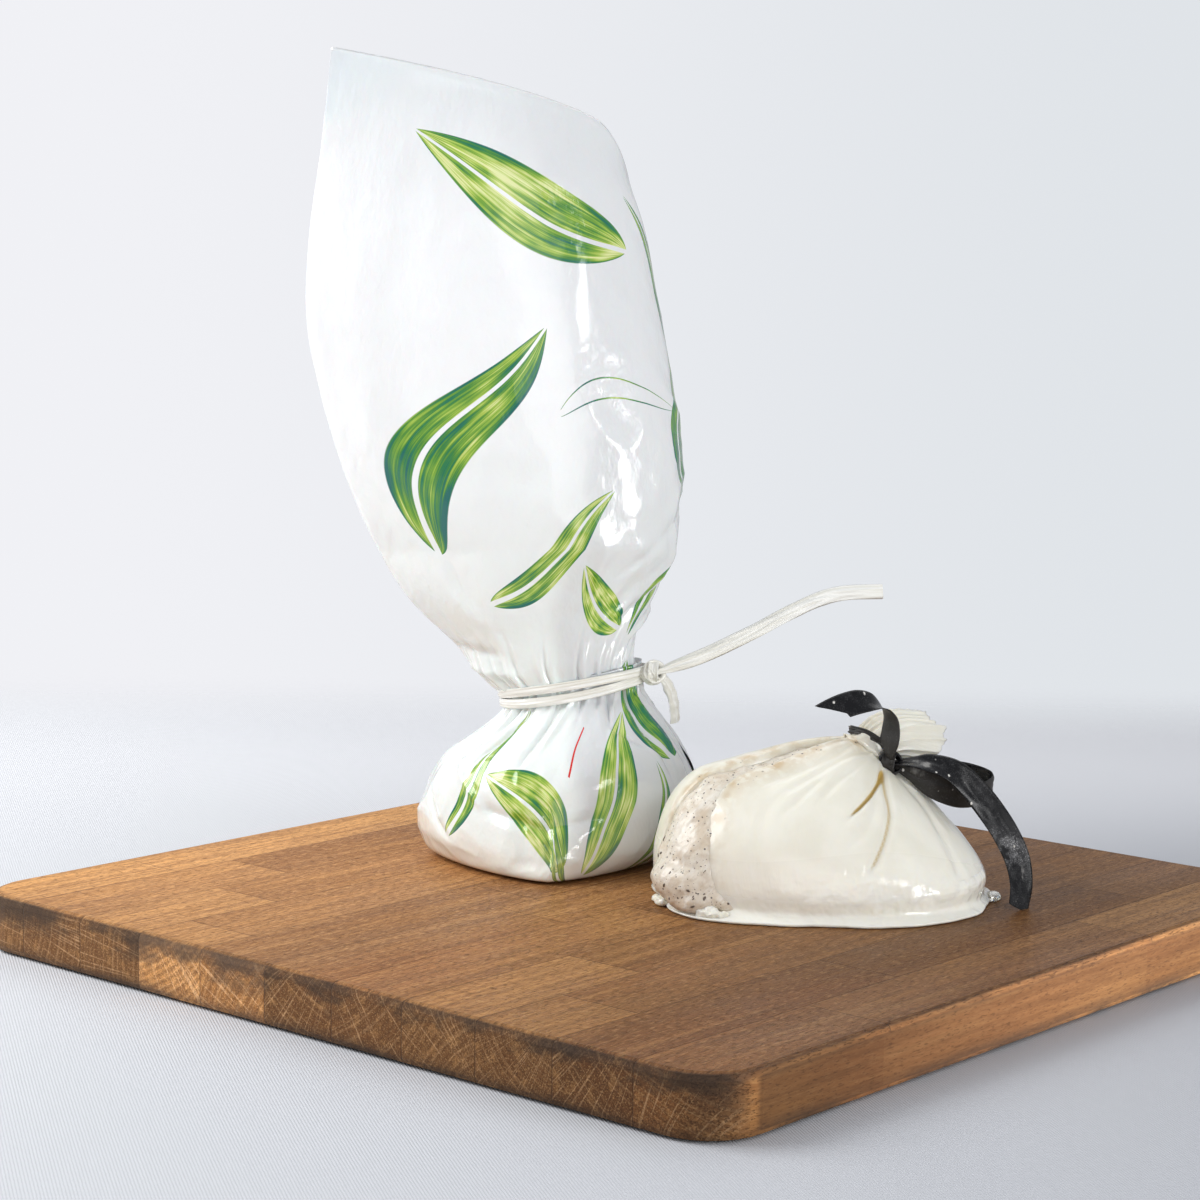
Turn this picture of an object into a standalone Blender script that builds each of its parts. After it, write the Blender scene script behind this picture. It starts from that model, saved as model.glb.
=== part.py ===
"""A torn truffle burrata in its spilled cream, and a packed one beside it, on a wooden board.

Metres, +Z up. The origin is the centre of the board's underside. The staves of the board run
along Y. Each cheese is modelled in the frame of its own seat on the board: x to its right,
y to its back, z up from the board's top.
"""
import math

import bmesh
import bpy
from mathutils import Vector

# ---- driving dimensions, in metres --------------------------------------------------------

GAP = 0.0003                      # air kept between touching pieces
FILLING_GAP = 0.0005              # and between the curved filling and its skin

BOARD_WIDTH = 0.336
BOARD_DEPTH = 0.340
BOARD_THICKNESS = 0.020
BOARD_CORNER = 0.020
BOARD_EDGE = 0.0025

SEAT_TURN = math.radians(41.08)   # both cheeses face a corner of the board
CHEESE_SEAT = (0.048, 0.033, BOARD_THICKNESS)
PACK_SEAT = (-0.0611, 0.0170, BOARD_THICKNESS)

PUDDLE_HALF_X = 0.0588
PUDDLE_HALF_Y = 0.0515
PUDDLE_THICKNESS = 0.0016
PUDDLE_SPILL = 0.0050             # extra reach under the filling that ran out

CHEESE_HALF_X = 0.0580
CHEESE_HALF_Y = 0.0490
CHEESE_CENTRE = Vector((0.0015, -0.0030, 0.0))
CHEESE_FOOT = GAP + PUDDLE_THICKNESS + GAP
CHEESE_EQUATOR = 0.0095           # height of the widest level
SKIN_THICKNESS = 0.0035
SADDLE_DEPTH = 0.0042             # sag of the slack shoulder between neck and left side
SADDLE_LEVEL = 1.72

NECK_CENTRE = Vector((0.0180, 0.0045, 0.0495))
NECK_RADIUS = 0.0085
NECK_SLOPE_X = 0.55               # fall of the neck's plane to the right
NECK_SLOPE_Y = 0.05               # and to the back
GROOVE_RADIUS = 0.0068
GROOVE_WIDTH = 0.0028

SLIT_ANGLE = math.radians(205)
SLIT_HALF_WIDTH = 0.0165          # at the widest level
SLIT_TOP = 1.90                   # level where the two lips meet
SLIT_BOTTOM = 0.66
SLIT_END_GAP = 0.06               # levels kept free between the filling and the tear's ends
SLIT_HUB = Vector((0.0, -0.0020, 0.0160))   # the tear's sides point away from here

RIBBON_WIDTH = 0.0098
RIBBON_THICKNESS = 0.0007
RIBBON_END_SLANT = 0.0038         # half the skew of the rising tail's cut end
BAND_WIDTH = 0.0022               # the ribbon is bunched where it goes round the neck
KNOT_CENTRE = (0.0252, -0.0040, 0.0476)
KNOT_RADII = (0.0042, 0.0036, 0.0038)

PACK_NECK = 0.0640                # height of the tied neck's middle
PACK_NECK_SLOPE = 0.19
PACK_TOP = 0.297                  # left corner of the pressed top edge
TIE_WIDTH = 0.0056
TIE_THICKNESS = 0.0009


# ---- small tools ---------------------------------------------------------------------------

def material(name, color, roughness, metallic=0.0):
    """One Principled material."""
    made = bpy.data.materials.new(name)
    made.use_nodes = True
    shader = made.node_tree.nodes["Principled BSDF"]
    shader.inputs["Base Color"].default_value = (*color, 1.0)
    shader.inputs["Roughness"].default_value = roughness
    shader.inputs["Metallic"].default_value = metallic
    return made


def seat(name, place):
    """An empty at a cheese's place on the board."""
    empty = bpy.data.objects.new(name, None)
    empty.location = place
    empty.rotation_euler = (0.0, 0.0, SEAT_TURN)
    bpy.context.collection.objects.link(empty)
    return empty


def cap_faces(ring):
    """Faces that zip one ring of vertices shut, straight across."""
    count = len(ring)
    for i in range(count // 2):
        corners = [ring[i], ring[i + 1], ring[count - i - 1], ring[(count - i) % count]]
        yield list(dict.fromkeys(corners))


def skin(name, rings, finish, parent, closed=False):
    """A closed body over rings of equal length, capped at both ends or closed into a hoop.

    Every four-sided face is split the same way, so nested skins keep an even gap.
    """
    bm = bmesh.new()
    rows = [[bm.verts.new(point) for point in ring] for ring in rings]
    pairs = list(zip(rows, rows[1:]))
    if closed:
        pairs.append((rows[-1], rows[0]))
    else:
        for ring in (rows[0], rows[-1]):
            for corners in cap_faces(ring):
                bm.faces.new(corners)
    for lower, upper in pairs:
        count = len(lower)
        for i in range(count):
            j = (i + 1) % count
            bm.faces.new((lower[i], lower[j], upper[j], upper[i]))
    bmesh.ops.recalc_face_normals(bm, faces=bm.faces)
    bmesh.ops.triangulate(bm, faces=bm.faces, quad_method="FIXED")
    mesh = bpy.data.meshes.new(name)
    bm.to_mesh(mesh)
    bm.free()
    mesh.materials.append(finish)
    mesh.shade_smooth()
    mesh.set_sharp_from_angle(angle=math.radians(40))
    thing = bpy.data.objects.new(name, mesh)
    bpy.context.collection.objects.link(thing)
    thing.parent = parent
    return thing


def combine(thing, tool, operation):
    """Cut or join a hidden tool body into a thing."""
    tool.hide_render = True
    tool.display_type = "WIRE"
    step = thing.modifiers.new(tool.name, "BOOLEAN")
    step.operation = operation
    step.solver = "EXACT"
    step.object = tool


def spline(points, steps):
    """Points of a Catmull-Rom curve through the given ones."""
    knots = [Vector(point) for point in points]
    knots = [2 * knots[0] - knots[1]] + knots + [2 * knots[-1] - knots[-2]]
    curve = []
    for a, b, c, d in zip(knots, knots[1:], knots[2:], knots[3:]):
        for step in range(steps):
            t = step / steps
            bend = 2 * a - 5 * b + 4 * c - d
            twist = 3 * b - a - 3 * c + d
            curve.append((2 * b + (c - a) * t + bend * t ** 2 + twist * t ** 3) / 2)
    return curve + [knots[-2]]


def full_width(share):
    """A strip that keeps its width all along."""
    return 1.0


def pinched_start(share):
    """A tail that leaves its knot pinched to less than half its width."""
    return 0.4 + 0.6 * min(1.0, share / 0.2)


def pinched_ends(share):
    """A loop that is pinched where it leaves and where it comes back."""
    return pinched_start(min(share, 1 - share))


def strip_rings(route, reference, width, thickness, taper=full_width, closed=False):
    """Rings of a flat strip along a route of (x, y, z, roll).

    At roll 0 the strip's width lies along the reference direction.
    """
    rings = []
    centres = [Vector(stop[:3]) for stop in route]
    last = len(route) - 1
    for i, stop in enumerate(route):
        after = centres[(i + 1) % len(route)] if closed else centres[min(i + 1, last)]
        before = centres[i - 1] if closed else centres[max(i - 1, 0)]
        along = (after - before).normalized()
        flat = (reference - reference.dot(along) * along).normalized()
        across = along.cross(flat)
        wide = flat * math.cos(stop[3]) + across * math.sin(stop[3])
        thick = wide.cross(along) * thickness / 2
        wide = wide * taper(i / last) * width / 2
        centre = centres[i]
        rings.append([centre + wide + thick, centre - wide + thick,
                      centre - wide - thick, centre + wide - thick])
    return rings


def blob_rings(centre, radii, turn=0.0, floor=None, rows=8, sides=14):
    """Rings of an ellipsoid turned about Z, flattened where it meets the floor."""
    rings = []
    for row in range(1, rows):
        tilt = math.pi * row / rows - math.pi / 2
        ring = []
        for side in range(sides):
            angle = math.tau * side / sides
            x = radii[0] * math.cos(tilt) * math.cos(angle)
            y = radii[1] * math.cos(tilt) * math.sin(angle)
            z = centre[2] + radii[2] * math.sin(tilt)
            point = Vector((centre[0] + x * math.cos(turn) - y * math.sin(turn),
                            centre[1] + x * math.sin(turn) + y * math.cos(turn),
                            z if floor is None else max(z, floor)))
            ring.append(point)
        rings.append(ring)
    return rings


def superellipse(angle, half_x, half_y, power):
    """Radius of a rounded outline at an angle: power 2 is an ellipse, more is squarer."""
    x = (abs(math.cos(angle)) / half_x) ** power
    y = (abs(math.sin(angle)) / half_y) ** power
    return (x + y) ** (-1 / power)


def swell(angle, middle, spread):
    """A smooth bump of height 1 around a middle angle."""
    away = (angle - middle + math.pi) % math.tau - math.pi
    return math.exp(-(away / spread) ** 2)


# ---- board ---------------------------------------------------------------------------------

def make_board(finish):
    """The thick board with rounded corners and softened edges."""
    bm = bmesh.new()
    bmesh.ops.create_cube(bm, size=1.0)
    size = Vector((BOARD_WIDTH, BOARD_DEPTH, BOARD_THICKNESS))
    bmesh.ops.scale(bm, vec=size, verts=bm.verts)
    bmesh.ops.translate(bm, vec=(0, 0, BOARD_THICKNESS / 2), verts=bm.verts)
    uprights = [edge for edge in bm.edges
                if abs(edge.verts[0].co.z - edge.verts[1].co.z) > BOARD_THICKNESS / 2]
    bmesh.ops.bevel(bm, geom=uprights, offset=BOARD_CORNER, segments=7, profile=0.5,
                    affect="EDGES", clamp_overlap=True)
    rims = [edge for edge in bm.edges
            if abs(edge.verts[0].co.z - edge.verts[1].co.z) < BOARD_THICKNESS / 2
            and abs(edge.calc_face_angle(0.0)) > math.radians(60)]
    bmesh.ops.bevel(bm, geom=rims, offset=BOARD_EDGE, segments=2, profile=0.5,
                    affect="EDGES", clamp_overlap=True)
    mesh = bpy.data.meshes.new("board")
    bm.to_mesh(mesh)
    bm.free()
    mesh.materials.append(finish)
    board = bpy.data.objects.new("board", mesh)
    bpy.context.collection.objects.link(board)
    return board


# ---- cream puddle --------------------------------------------------------------------------

def puddle_radius(angle):
    """Outline of the cream that ran out around the cheese."""
    edge = superellipse(angle, PUDDLE_HALF_X, PUDDLE_HALF_Y, 2.3)
    edge += PUDDLE_SPILL * swell(angle, SLIT_ANGLE, 0.38)
    return edge + 0.0007 * math.sin(5 * angle + 0.6) + 0.0004 * math.sin(9 * angle)


def make_puddle(finish, parent, sides=48):
    """A thin pool with a rounded rim."""
    angles = [math.tau * side / sides for side in range(sides)]
    levels = ((GAP, -0.0006), (GAP + 0.0006, 0.0), (GAP + 0.0012, -0.0005),
              (GAP + PUDDLE_THICKNESS, -0.0018))
    rings = []
    for height, inset in levels:
        rings.append([CHEESE_CENTRE + Vector(((puddle_radius(angle) + inset) * math.cos(angle),
                                              (puddle_radius(angle) + inset) * math.sin(angle),
                                              height)) for angle in angles])
    return skin("cream_puddle", rings, finish, parent)


# ---- torn cheese ---------------------------------------------------------------------------

def cheese_point(level, angle, inset=0.0):
    """A point of the cheese: level 0 is under the foot, 1 the widest level, 2 the neck.

    The inset is the distance in from the outer surface.
    """
    foot = CHEESE_FOOT + inset
    reach = superellipse(angle, CHEESE_HALF_X, CHEESE_HALF_Y, 2.3) - inset
    rim = CHEESE_CENTRE + reach * Vector((math.cos(angle), math.sin(angle), 0.0))
    if level <= 1:
        sweep = (1 - level) * math.pi / 2
        spread = math.cos(sweep) ** 0.25
        drop = math.sin(sweep) ** 0.8
        x, y, _ = CHEESE_CENTRE + (rim - CHEESE_CENTRE) * spread
        return Vector((x, y, CHEESE_EQUATOR - (CHEESE_EQUATOR - foot) * drop))
    fullness = 1.72 - 0.64 * math.cos(angle)
    sweep = (level - 1) * math.pi / 2
    top = neck_point(angle, NECK_RADIUS - inset, -inset)
    x, y, _ = top + (rim - top) * max(0.0, math.cos(sweep)) ** (2 / fullness)
    rise = math.sin(sweep) ** (2 / fullness)
    saddle = SADDLE_DEPTH * math.exp(-((level - SADDLE_LEVEL) / 0.20) ** 2)
    saddle *= (0.5 - 0.5 * math.cos(angle)) ** 2
    return Vector((x, y, CHEESE_EQUATOR + (top.z - CHEESE_EQUATOR) * rise - saddle))


NECK_AXIS = Vector((NECK_SLOPE_X, NECK_SLOPE_Y, 1.0)).normalized()


def neck_point(angle, radius, along):
    """A point on the tilted neck, some way along its axis."""
    flat = Vector((math.cos(angle), math.sin(angle), 0.0)) * radius
    flat.z = -NECK_SLOPE_X * flat.x - NECK_SLOPE_Y * flat.y
    return NECK_CENTRE + flat + NECK_AXIS * along


def cheese_angles(sides=38):
    return [math.tau * side / sides for side in range(sides)]


def body_rings(top_level=2.0, inset=0.0):
    """Rings of the cheese below its neck."""
    levels = [0.05, 0.22, 0.42, 0.62, 0.82, 1.0, 1.1, 1.2, 1.3, 1.4, 1.5, 1.6, 1.7, 1.8, 1.9, 2.0]
    return [[cheese_point(level, angle, inset) for angle in cheese_angles()]
            for level in levels if level <= top_level + 0.001]


def frill_rings():
    """The gathered neck under the ribbon and the ruffled end that lies to the right."""
    angles = cheese_angles()
    rings = [[neck_point(angle, GROOVE_RADIUS, along) for angle in angles]
             for along in (0.0006, 0.0006 + GROOVE_WIDTH)]
    start = NECK_CENTRE + NECK_AXIS * (GROOVE_WIDTH + 0.0012)
    route = spline([(*start, 0.0068), (0.0234, 0.0058, 0.0562, 0.0069),
                    (0.0274, 0.0084, 0.0572, 0.0074), (0.0320, 0.0120, 0.0568, 0.0080),
                    (0.0370, 0.0160, 0.0560, 0.0086), (0.0420, 0.0200, 0.0550, 0.0084)], 2)
    out = NECK_AXIS.copy()
    side = (Vector((1, 0, 0)) - NECK_AXIS.x * NECK_AXIS).normalized()
    last = len(route) - 1
    for i, stop in enumerate(route):
        centre = Vector(stop[:3])
        onward = Vector(route[min(i + 1, last)][:3]) - Vector(route[max(i - 1, 0)][:3])
        onward = (onward.normalized() if i else NECK_AXIS).copy()
        side = out.rotation_difference(onward) @ side
        out = onward
        back = out.cross(side)
        share = i / last
        ring = []
        for angle in angles:
            ruffle = 1 + share * (0.10 * math.cos(7 * angle + 1) + 0.06 * math.cos(4 * angle))
            radius = stop[3] * ruffle
            ring.append(centre + radius * (side * math.cos(angle) + back * math.sin(angle)))
        rings.append(ring)
    mouth = Vector(route[-1][:3]) - out * 0.0012
    rings.append([mouth + 0.6 * route[-1][3] * (side * math.cos(angle) + back * math.sin(angle))
                  for angle in angles])
    return rings


def slit_half_width(level):
    """Half the opening between the lips, wide at the foot and closed near the neck."""
    share = max(0.0, (SLIT_TOP - max(level, 1.0)) / (SLIT_TOP - 1))
    return 0.0006 + SLIT_HALF_WIDTH * share ** 0.8


def slit_rings(depth, reach, margin=0.0, end_margin=0.0, stops=12, side_stops=3):
    """A body along the tear, from some depth under the skin to some way out of it.

    The margin is kept free at its sides in metres, the end margin at its ends in levels.
    """
    rings = []
    start, end = SLIT_BOTTOM + end_margin, SLIT_TOP - end_margin
    for i in range(stops):
        level = start + (end - start) * i / (stops - 1)
        step = cheese_point(level, SLIT_ANGLE + 0.02) - cheese_point(level, SLIT_ANGLE - 0.02)
        half_angle = max(slit_half_width(level) - margin, 0.0003) * 0.04 / step.length
        far, deep = [], []
        for side in range(-side_stops, side_stops + 1):
            share = side / side_stops
            here = cheese_point(level, SLIT_ANGLE + half_angle * share)
            out = (here - SLIT_HUB).normalized()
            far.append(here + out * reach(level, share))
            deep.append(here - out * depth)
        rings.append(far + deep[::-1])
    return rings


def make_pouch(finish, parent):
    """The stretched-curd skin: a hollow pouch, torn open on its left, with its frill."""
    pouch = skin("pouch", body_rings() + frill_rings(), finish, parent)
    hollow = skin("pouch_hollow", body_rings(1.9, SKIN_THICKNESS), finish, parent)
    slit = skin("pouch_slit", slit_rings(0.010, lambda level, share: 0.008), finish, parent)
    press = skin("pouch_knot_dent", knot_rings(GAP), finish, parent)
    for tool in (hollow, slit, press):
        combine(pouch, tool, "DIFFERENCE")
    return pouch


def make_filling(finish, parent):
    """The stracciatella: it fills the pouch, shows in the tear and runs out at its foot."""
    filling = skin("filling", body_rings(1.9, SKIN_THICKNESS + FILLING_GAP), finish, parent)

    def fill_reach(level, share):
        """The filling sinks in the upper tear and bulges over the skin near the foot."""
        bulge = max(0.0, min(1.0, (1.5 - level) / 0.4))
        return -0.0012 + 0.0030 * bulge * (1 - share ** 2)

    tongue = skin("filling_tongue", slit_rings(0.0080, fill_reach, FILLING_GAP, SLIT_END_GAP),
                  finish, parent)
    lobe = skin("filling_lobe", blob_rings((-0.0440, -0.0290, 0.0135), (0.0150, 0.0165, 0.0165),
                                           SLIT_ANGLE, CHEESE_FOOT), finish, parent)
    shell = skin("filling_shell", body_rings(1.9, -FILLING_GAP), finish, parent)
    combine(lobe, shell, "DIFFERENCE")
    combine(filling, tongue, "UNION")
    combine(filling, lobe, "UNION")
    return filling


# ---- black ribbon --------------------------------------------------------------------------

def knot_rings(grow=0.0):
    """The knot, or the dent that it presses into the skin."""
    return blob_rings(KNOT_CENTRE, [radius + grow for radius in KNOT_RADII])


def make_ribbon(finish, parent):
    """The ribbon round the neck: band, knot, one loop and two tails, all one strip.

    The rising tail is cut askew, and the falling one stands on the board with its cut edge.
    """
    middle = 0.0006 + GROOVE_WIDTH / 2
    radius = GROOVE_RADIUS + GAP + RIBBON_THICKNESS
    hoop = [(*neck_point(angle, radius, middle), 0.0) for angle in cheese_angles(28)]
    band = skin("black_ribbon", strip_rings(hoop, NECK_AXIS, BAND_WIDTH, RIBBON_THICKNESS,
                                            closed=True), finish, parent, closed=True)
    away = Vector((0.0, 1.0, 0.0))
    rise = [(0.0244, -0.0055, 0.0485, 0.5), (0.0234, -0.0085, 0.0525, 0.45),
            (0.0238, -0.0085, 0.0580, 0.5), (0.0232, -0.0070, 0.0640, 0.55),
            (0.0200, -0.0065, 0.0690, 0.6), (0.0142, -0.0070, 0.0712, 0.6),
            (0.0088, -0.0080, 0.0700, 0.7), (0.0042, -0.0090, 0.0678, 0.8)]
    fall = [(0.0255, -0.0060, 0.0480, 0.3), (0.0330, -0.0090, 0.0488, 0.35),
            (0.0400, -0.0100, 0.0483, 0.6), (0.0475, -0.0105, 0.0455, 0.95),
            (0.0540, -0.0105, 0.0395, 1.2), (0.0602, -0.0110, 0.0320, 1.3),
            (0.0655, -0.0120, 0.0240, 1.3), (0.0690, -0.0135, 0.0160, 1.2),
            (0.0700, -0.0160, 0.0085, 1.05), (0.0685, -0.0198, 0.0022, 0.9)]
    loop = [(0.0252, -0.0050, 0.0478, 0.0), (0.0340, -0.0094, 0.0436, 0.0),
            (0.0430, -0.0068, 0.0390, 0.0), (0.0520, -0.0010, 0.0356, 0.0),
            (0.0590, 0.0040, 0.0352, 0.0), (0.0634, 0.0105, 0.0364, 0.0),
            (0.0624, 0.0165, 0.0380, 0.0), (0.0552, 0.0190, 0.0396, 0.0),
            (0.0450, 0.0160, 0.0416, 0.0), (0.0350, 0.0075, 0.0444, 0.0),
            (0.0268, -0.0030, 0.0482, 0.0)]
    combine(band, skin("ribbon_knot", knot_rings(), finish, parent), "UNION")
    strips = {
        "ribbon_loop": strip_rings(spline(loop, 2), Vector((0.1, -0.35, 1.0)), RIBBON_WIDTH,
                                   RIBBON_THICKNESS, pinched_ends),
        "ribbon_rise": strip_rings(spline(rise, 2), away, RIBBON_WIDTH, RIBBON_THICKNESS,
                                   pinched_start),
        "ribbon_fall": strip_rings(spline(fall, 2), away, RIBBON_WIDTH, RIBBON_THICKNESS,
                                   pinched_start),
    }
    skewed = strips["ribbon_rise"]
    cut = (skewed[-1][0] - skewed[-2][0]).normalized() * RIBBON_END_SLANT
    for corner, lean in zip(skewed[-1], (-1, 1, 1, -1)):
        corner += cut * lean
    for corner in strips["ribbon_fall"][-1]:
        corner.z = GAP
    for name, rings in strips.items():
        combine(band, skin(name, rings, finish, parent), "UNION")
    return band


# ---- packed cheese -------------------------------------------------------------------------

# height, left, right, front, back, roundness: 2 is an ellipse, less is squarer on the diagonal
BULB_SECTIONS = (
    (0.0003, -0.0400, 0.0370, -0.0500, 0.0460, 1.35),
    (0.0020, -0.0470, 0.0440, -0.0550, 0.0520, 1.40),
    (0.0080, -0.0515, 0.0510, -0.0545, 0.0535, 1.55),
    (0.0170, -0.0520, 0.0530, -0.0510, 0.0500, 1.70),
    (0.0270, -0.0500, 0.0525, -0.0470, 0.0460, 1.85),
    (0.0370, -0.0465, 0.0470, -0.0420, 0.0410, 1.95),
    (0.0460, -0.0395, 0.0400, -0.0350, 0.0340, 2.00),
    (0.0540, -0.0270, 0.0345, -0.0250, 0.0250, 2.00),
    (0.0600, -0.0200, 0.0320, -0.0180, 0.0180, 2.00),
    (0.0690, -0.0195, 0.0315, -0.0175, 0.0175, 2.00),
)

# share of the way to the top edge, left fold, right turn, half thickness, bend to the back
FLARE_SECTIONS = (
    (0.035, -0.0320, 0.0325, 0.0185, 0.001),
    (0.09, -0.0420, 0.0345, 0.0190, 0.006),
    (0.17, -0.0560, 0.0335, 0.0195, 0.013),
    (0.27, -0.0720, 0.0330, 0.0190, 0.020),
    (0.40, -0.0850, 0.0345, 0.0175, 0.028),
    (0.55, -0.0965, 0.0355, 0.0150, 0.036),
    (0.70, -0.0930, 0.0330, 0.0115, 0.042),
    (0.85, -0.0890, 0.0325, 0.0065, 0.046),
    (1.00, -0.0860, 0.0298, 0.0014, 0.048),
)


def signed_power(value, power):
    return math.copysign(abs(value) ** power, value)


def bulb_ring(section, angles):
    """One level of the bag round the cheese. Its plane tilts toward that of the neck."""
    height, left, right, front, back, roundness = section
    tilt = PACK_NECK_SLOPE * min(1.0, max(0.0, height - 0.008) / 0.045)
    middle_x, half_x = (left + right) / 2, (right - left) / 2
    middle_y, half_y = (front + back) / 2, (back - front) / 2
    ring = []
    for angle in angles:
        x = half_x * signed_power(math.cos(angle), 2 / roundness)
        y = half_y * signed_power(math.sin(angle), 2 / roundness)
        ring.append(Vector((middle_x + x, middle_y + y, height + tilt * x)))
    return ring


def top_edge_height(share):
    """The top edge falls from its left corner and droops where it turns to the back."""
    return PACK_TOP - 0.042 * share - 0.060 * (max(0.0, share - 0.55) / 0.45) ** 2


def flare_ring(section, angles):
    """One level of the bag above the tie: a flat lens bent backwards on its right."""
    rise, left, right, half, bend = section
    open_up = min(1.0, rise / 0.25)
    corner_x = (left + right) / 2 * (1 - open_up) + (right + 0.012) * open_up
    end_x = right - 0.002 * open_up
    ring = []
    for angle in angles:
        share = (math.cos(angle) + 1) / 2
        near, mid, far = (1 - share) ** 2, 2 * share * (1 - share), share ** 2
        x = near * left + mid * corner_x + far * end_x
        y = near * 0.006 * open_up - mid * 0.012 * open_up + far * bend
        slope_x = (1 - share) * (corner_x - left) + share * (end_x - corner_x)
        slope_y = -(1 - share) * 0.018 * open_up + share * (bend + 0.012 * open_up)
        normal = Vector((-slope_y, slope_x, 0.0)).normalized()
        foot = PACK_NECK + PACK_NECK_SLOPE * (x - 0.006)
        z = foot + (top_edge_height(share) - foot) * rise
        offset = half * signed_power(math.sin(angle), 1 + 0.4 * open_up)
        ring.append(Vector((x, y, z)) + normal * offset)
    return ring


def make_pack(finish, parent, sides=40):
    """The closed bag: bulb on the board, tied neck and flattened, flared top."""
    angles = [math.tau * side / sides for side in range(sides)]
    rings = [bulb_ring(section, angles) for section in BULB_SECTIONS]
    rings += [flare_ring(section, angles) for section in FLARE_SECTIONS]
    return skin("pack_bag", rings, finish, parent)


def make_tie(finish, parent):
    """The tie round the neck of the bag: band, knot, a long tail and a short one."""
    grow = GAP + TIE_THICKNESS
    hoop = bulb_ring((PACK_NECK, -0.0200 - grow, 0.0320 + grow, -0.0180 - grow, 0.0180 + grow,
                      2.0), cheese_angles(36))
    up = Vector((-PACK_NECK_SLOPE, 0.0, 1.0))
    hoop = [(*point, 0.0) for point in hoop]
    band = skin("pack_tie", strip_rings(hoop, up, TIE_WIDTH, TIE_THICKNESS, closed=True),
                finish, parent, closed=True)
    long_tail = [(0.0345, -0.0085, 0.0700, 0.9), (0.0420, -0.0080, 0.0720, 0.9),
                 (0.0520, -0.0060, 0.0755, 0.9), (0.0640, -0.0035, 0.0805, 0.9),
                 (0.0755, -0.0015, 0.0865, 0.9), (0.0861, 0.0, 0.0922, 0.9),
                 (0.0960, 0.0010, 0.0968, 0.9), (0.1060, 0.0020, 0.0992, 0.9),
                 (0.1207, 0.0035, 0.0998, 0.9)]
    short_tail = [(0.0355, -0.0060, 0.0690, 0.7), (0.0400, -0.0045, 0.0675, 0.7),
                  (0.0430, -0.0015, 0.0620, 0.7), (0.0445, 0.0005, 0.0560, 0.7),
                  (0.0448, 0.0015, 0.0500, 0.7)]
    away = Vector((0.0, 1.0, 0.0))
    for name, route in (("tie_long_tail", long_tail), ("tie_short_tail", short_tail)):
        rings = strip_rings(spline(route, 2), away, TIE_WIDTH, TIE_THICKNESS)
        combine(band, skin(name, rings, finish, parent), "UNION")
    knot = skin("tie_knot", blob_rings((0.0360, -0.0065, 0.0700), (0.0042, 0.0038, 0.0046)),
                finish, parent)
    combine(band, knot, "UNION")
    return band


# ---- the whole -----------------------------------------------------------------------------

def main():
    for old in list(bpy.data.objects):
        bpy.data.objects.remove(old, do_unlink=True)

    wood = material("board_wood", (0.235, 0.110, 0.045), 0.45)
    cream = material("cream", (0.90, 0.87, 0.79), 0.20)
    curd = material("curd_skin", (0.88, 0.84, 0.73), 0.28)
    truffle_cream = material("truffle_cream", (0.72, 0.64, 0.53), 0.38)
    satin = material("black_satin", (0.012, 0.012, 0.013), 0.35)
    film = material("bag_film", (0.86, 0.87, 0.86), 0.22)
    tie_plastic = material("tie_plastic", (0.84, 0.83, 0.76), 0.30)

    cheese_seat = seat("cheese_seat", CHEESE_SEAT)
    pack_seat = seat("pack_seat", PACK_SEAT)

    make_board(wood)
    make_puddle(cream, cheese_seat)
    make_pouch(curd, cheese_seat)
    make_filling(truffle_cream, cheese_seat)
    make_ribbon(satin, cheese_seat)
    make_pack(film, pack_seat)
    make_tie(tie_plastic, pack_seat)


main()
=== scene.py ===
# %% [markdown]
# # A torn truffle burrata and a packed one on a wooden board
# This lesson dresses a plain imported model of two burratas. One is torn open in its own cream and
# tied with a black ribbon. The other still stands in its tied film bag. The plain solids carry the
# sizes and the weight, so each dressed piece is laid over its solid, and together they stay within
# the outer size of the solids.

# %% Load the frame
import math
import random

import bpy
import numpy as np
from mathutils import Matrix, Vector, noise


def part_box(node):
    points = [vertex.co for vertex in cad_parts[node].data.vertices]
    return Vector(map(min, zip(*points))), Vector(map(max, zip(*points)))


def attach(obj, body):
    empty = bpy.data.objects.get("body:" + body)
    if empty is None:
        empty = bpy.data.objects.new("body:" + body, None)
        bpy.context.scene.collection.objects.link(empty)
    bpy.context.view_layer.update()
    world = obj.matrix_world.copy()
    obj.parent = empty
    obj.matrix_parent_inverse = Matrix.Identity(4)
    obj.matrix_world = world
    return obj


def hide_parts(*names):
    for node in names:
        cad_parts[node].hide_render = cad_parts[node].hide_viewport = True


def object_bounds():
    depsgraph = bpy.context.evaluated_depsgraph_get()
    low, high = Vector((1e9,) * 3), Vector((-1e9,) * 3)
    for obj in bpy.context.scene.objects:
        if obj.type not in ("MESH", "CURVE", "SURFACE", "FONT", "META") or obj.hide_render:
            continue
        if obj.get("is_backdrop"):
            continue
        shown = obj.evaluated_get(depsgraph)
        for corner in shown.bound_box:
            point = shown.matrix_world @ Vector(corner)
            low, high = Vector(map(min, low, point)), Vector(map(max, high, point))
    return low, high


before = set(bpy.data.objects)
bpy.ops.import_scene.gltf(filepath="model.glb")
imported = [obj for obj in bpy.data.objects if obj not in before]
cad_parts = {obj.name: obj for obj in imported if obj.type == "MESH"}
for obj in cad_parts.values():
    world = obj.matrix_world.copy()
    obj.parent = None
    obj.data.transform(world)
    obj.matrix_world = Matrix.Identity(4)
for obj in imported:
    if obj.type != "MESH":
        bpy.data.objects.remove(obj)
bpy.ops.object.select_all(action="DESELECT")
cad_low, cad_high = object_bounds()
print("solids from", cad_low, "to", cad_high)

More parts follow.
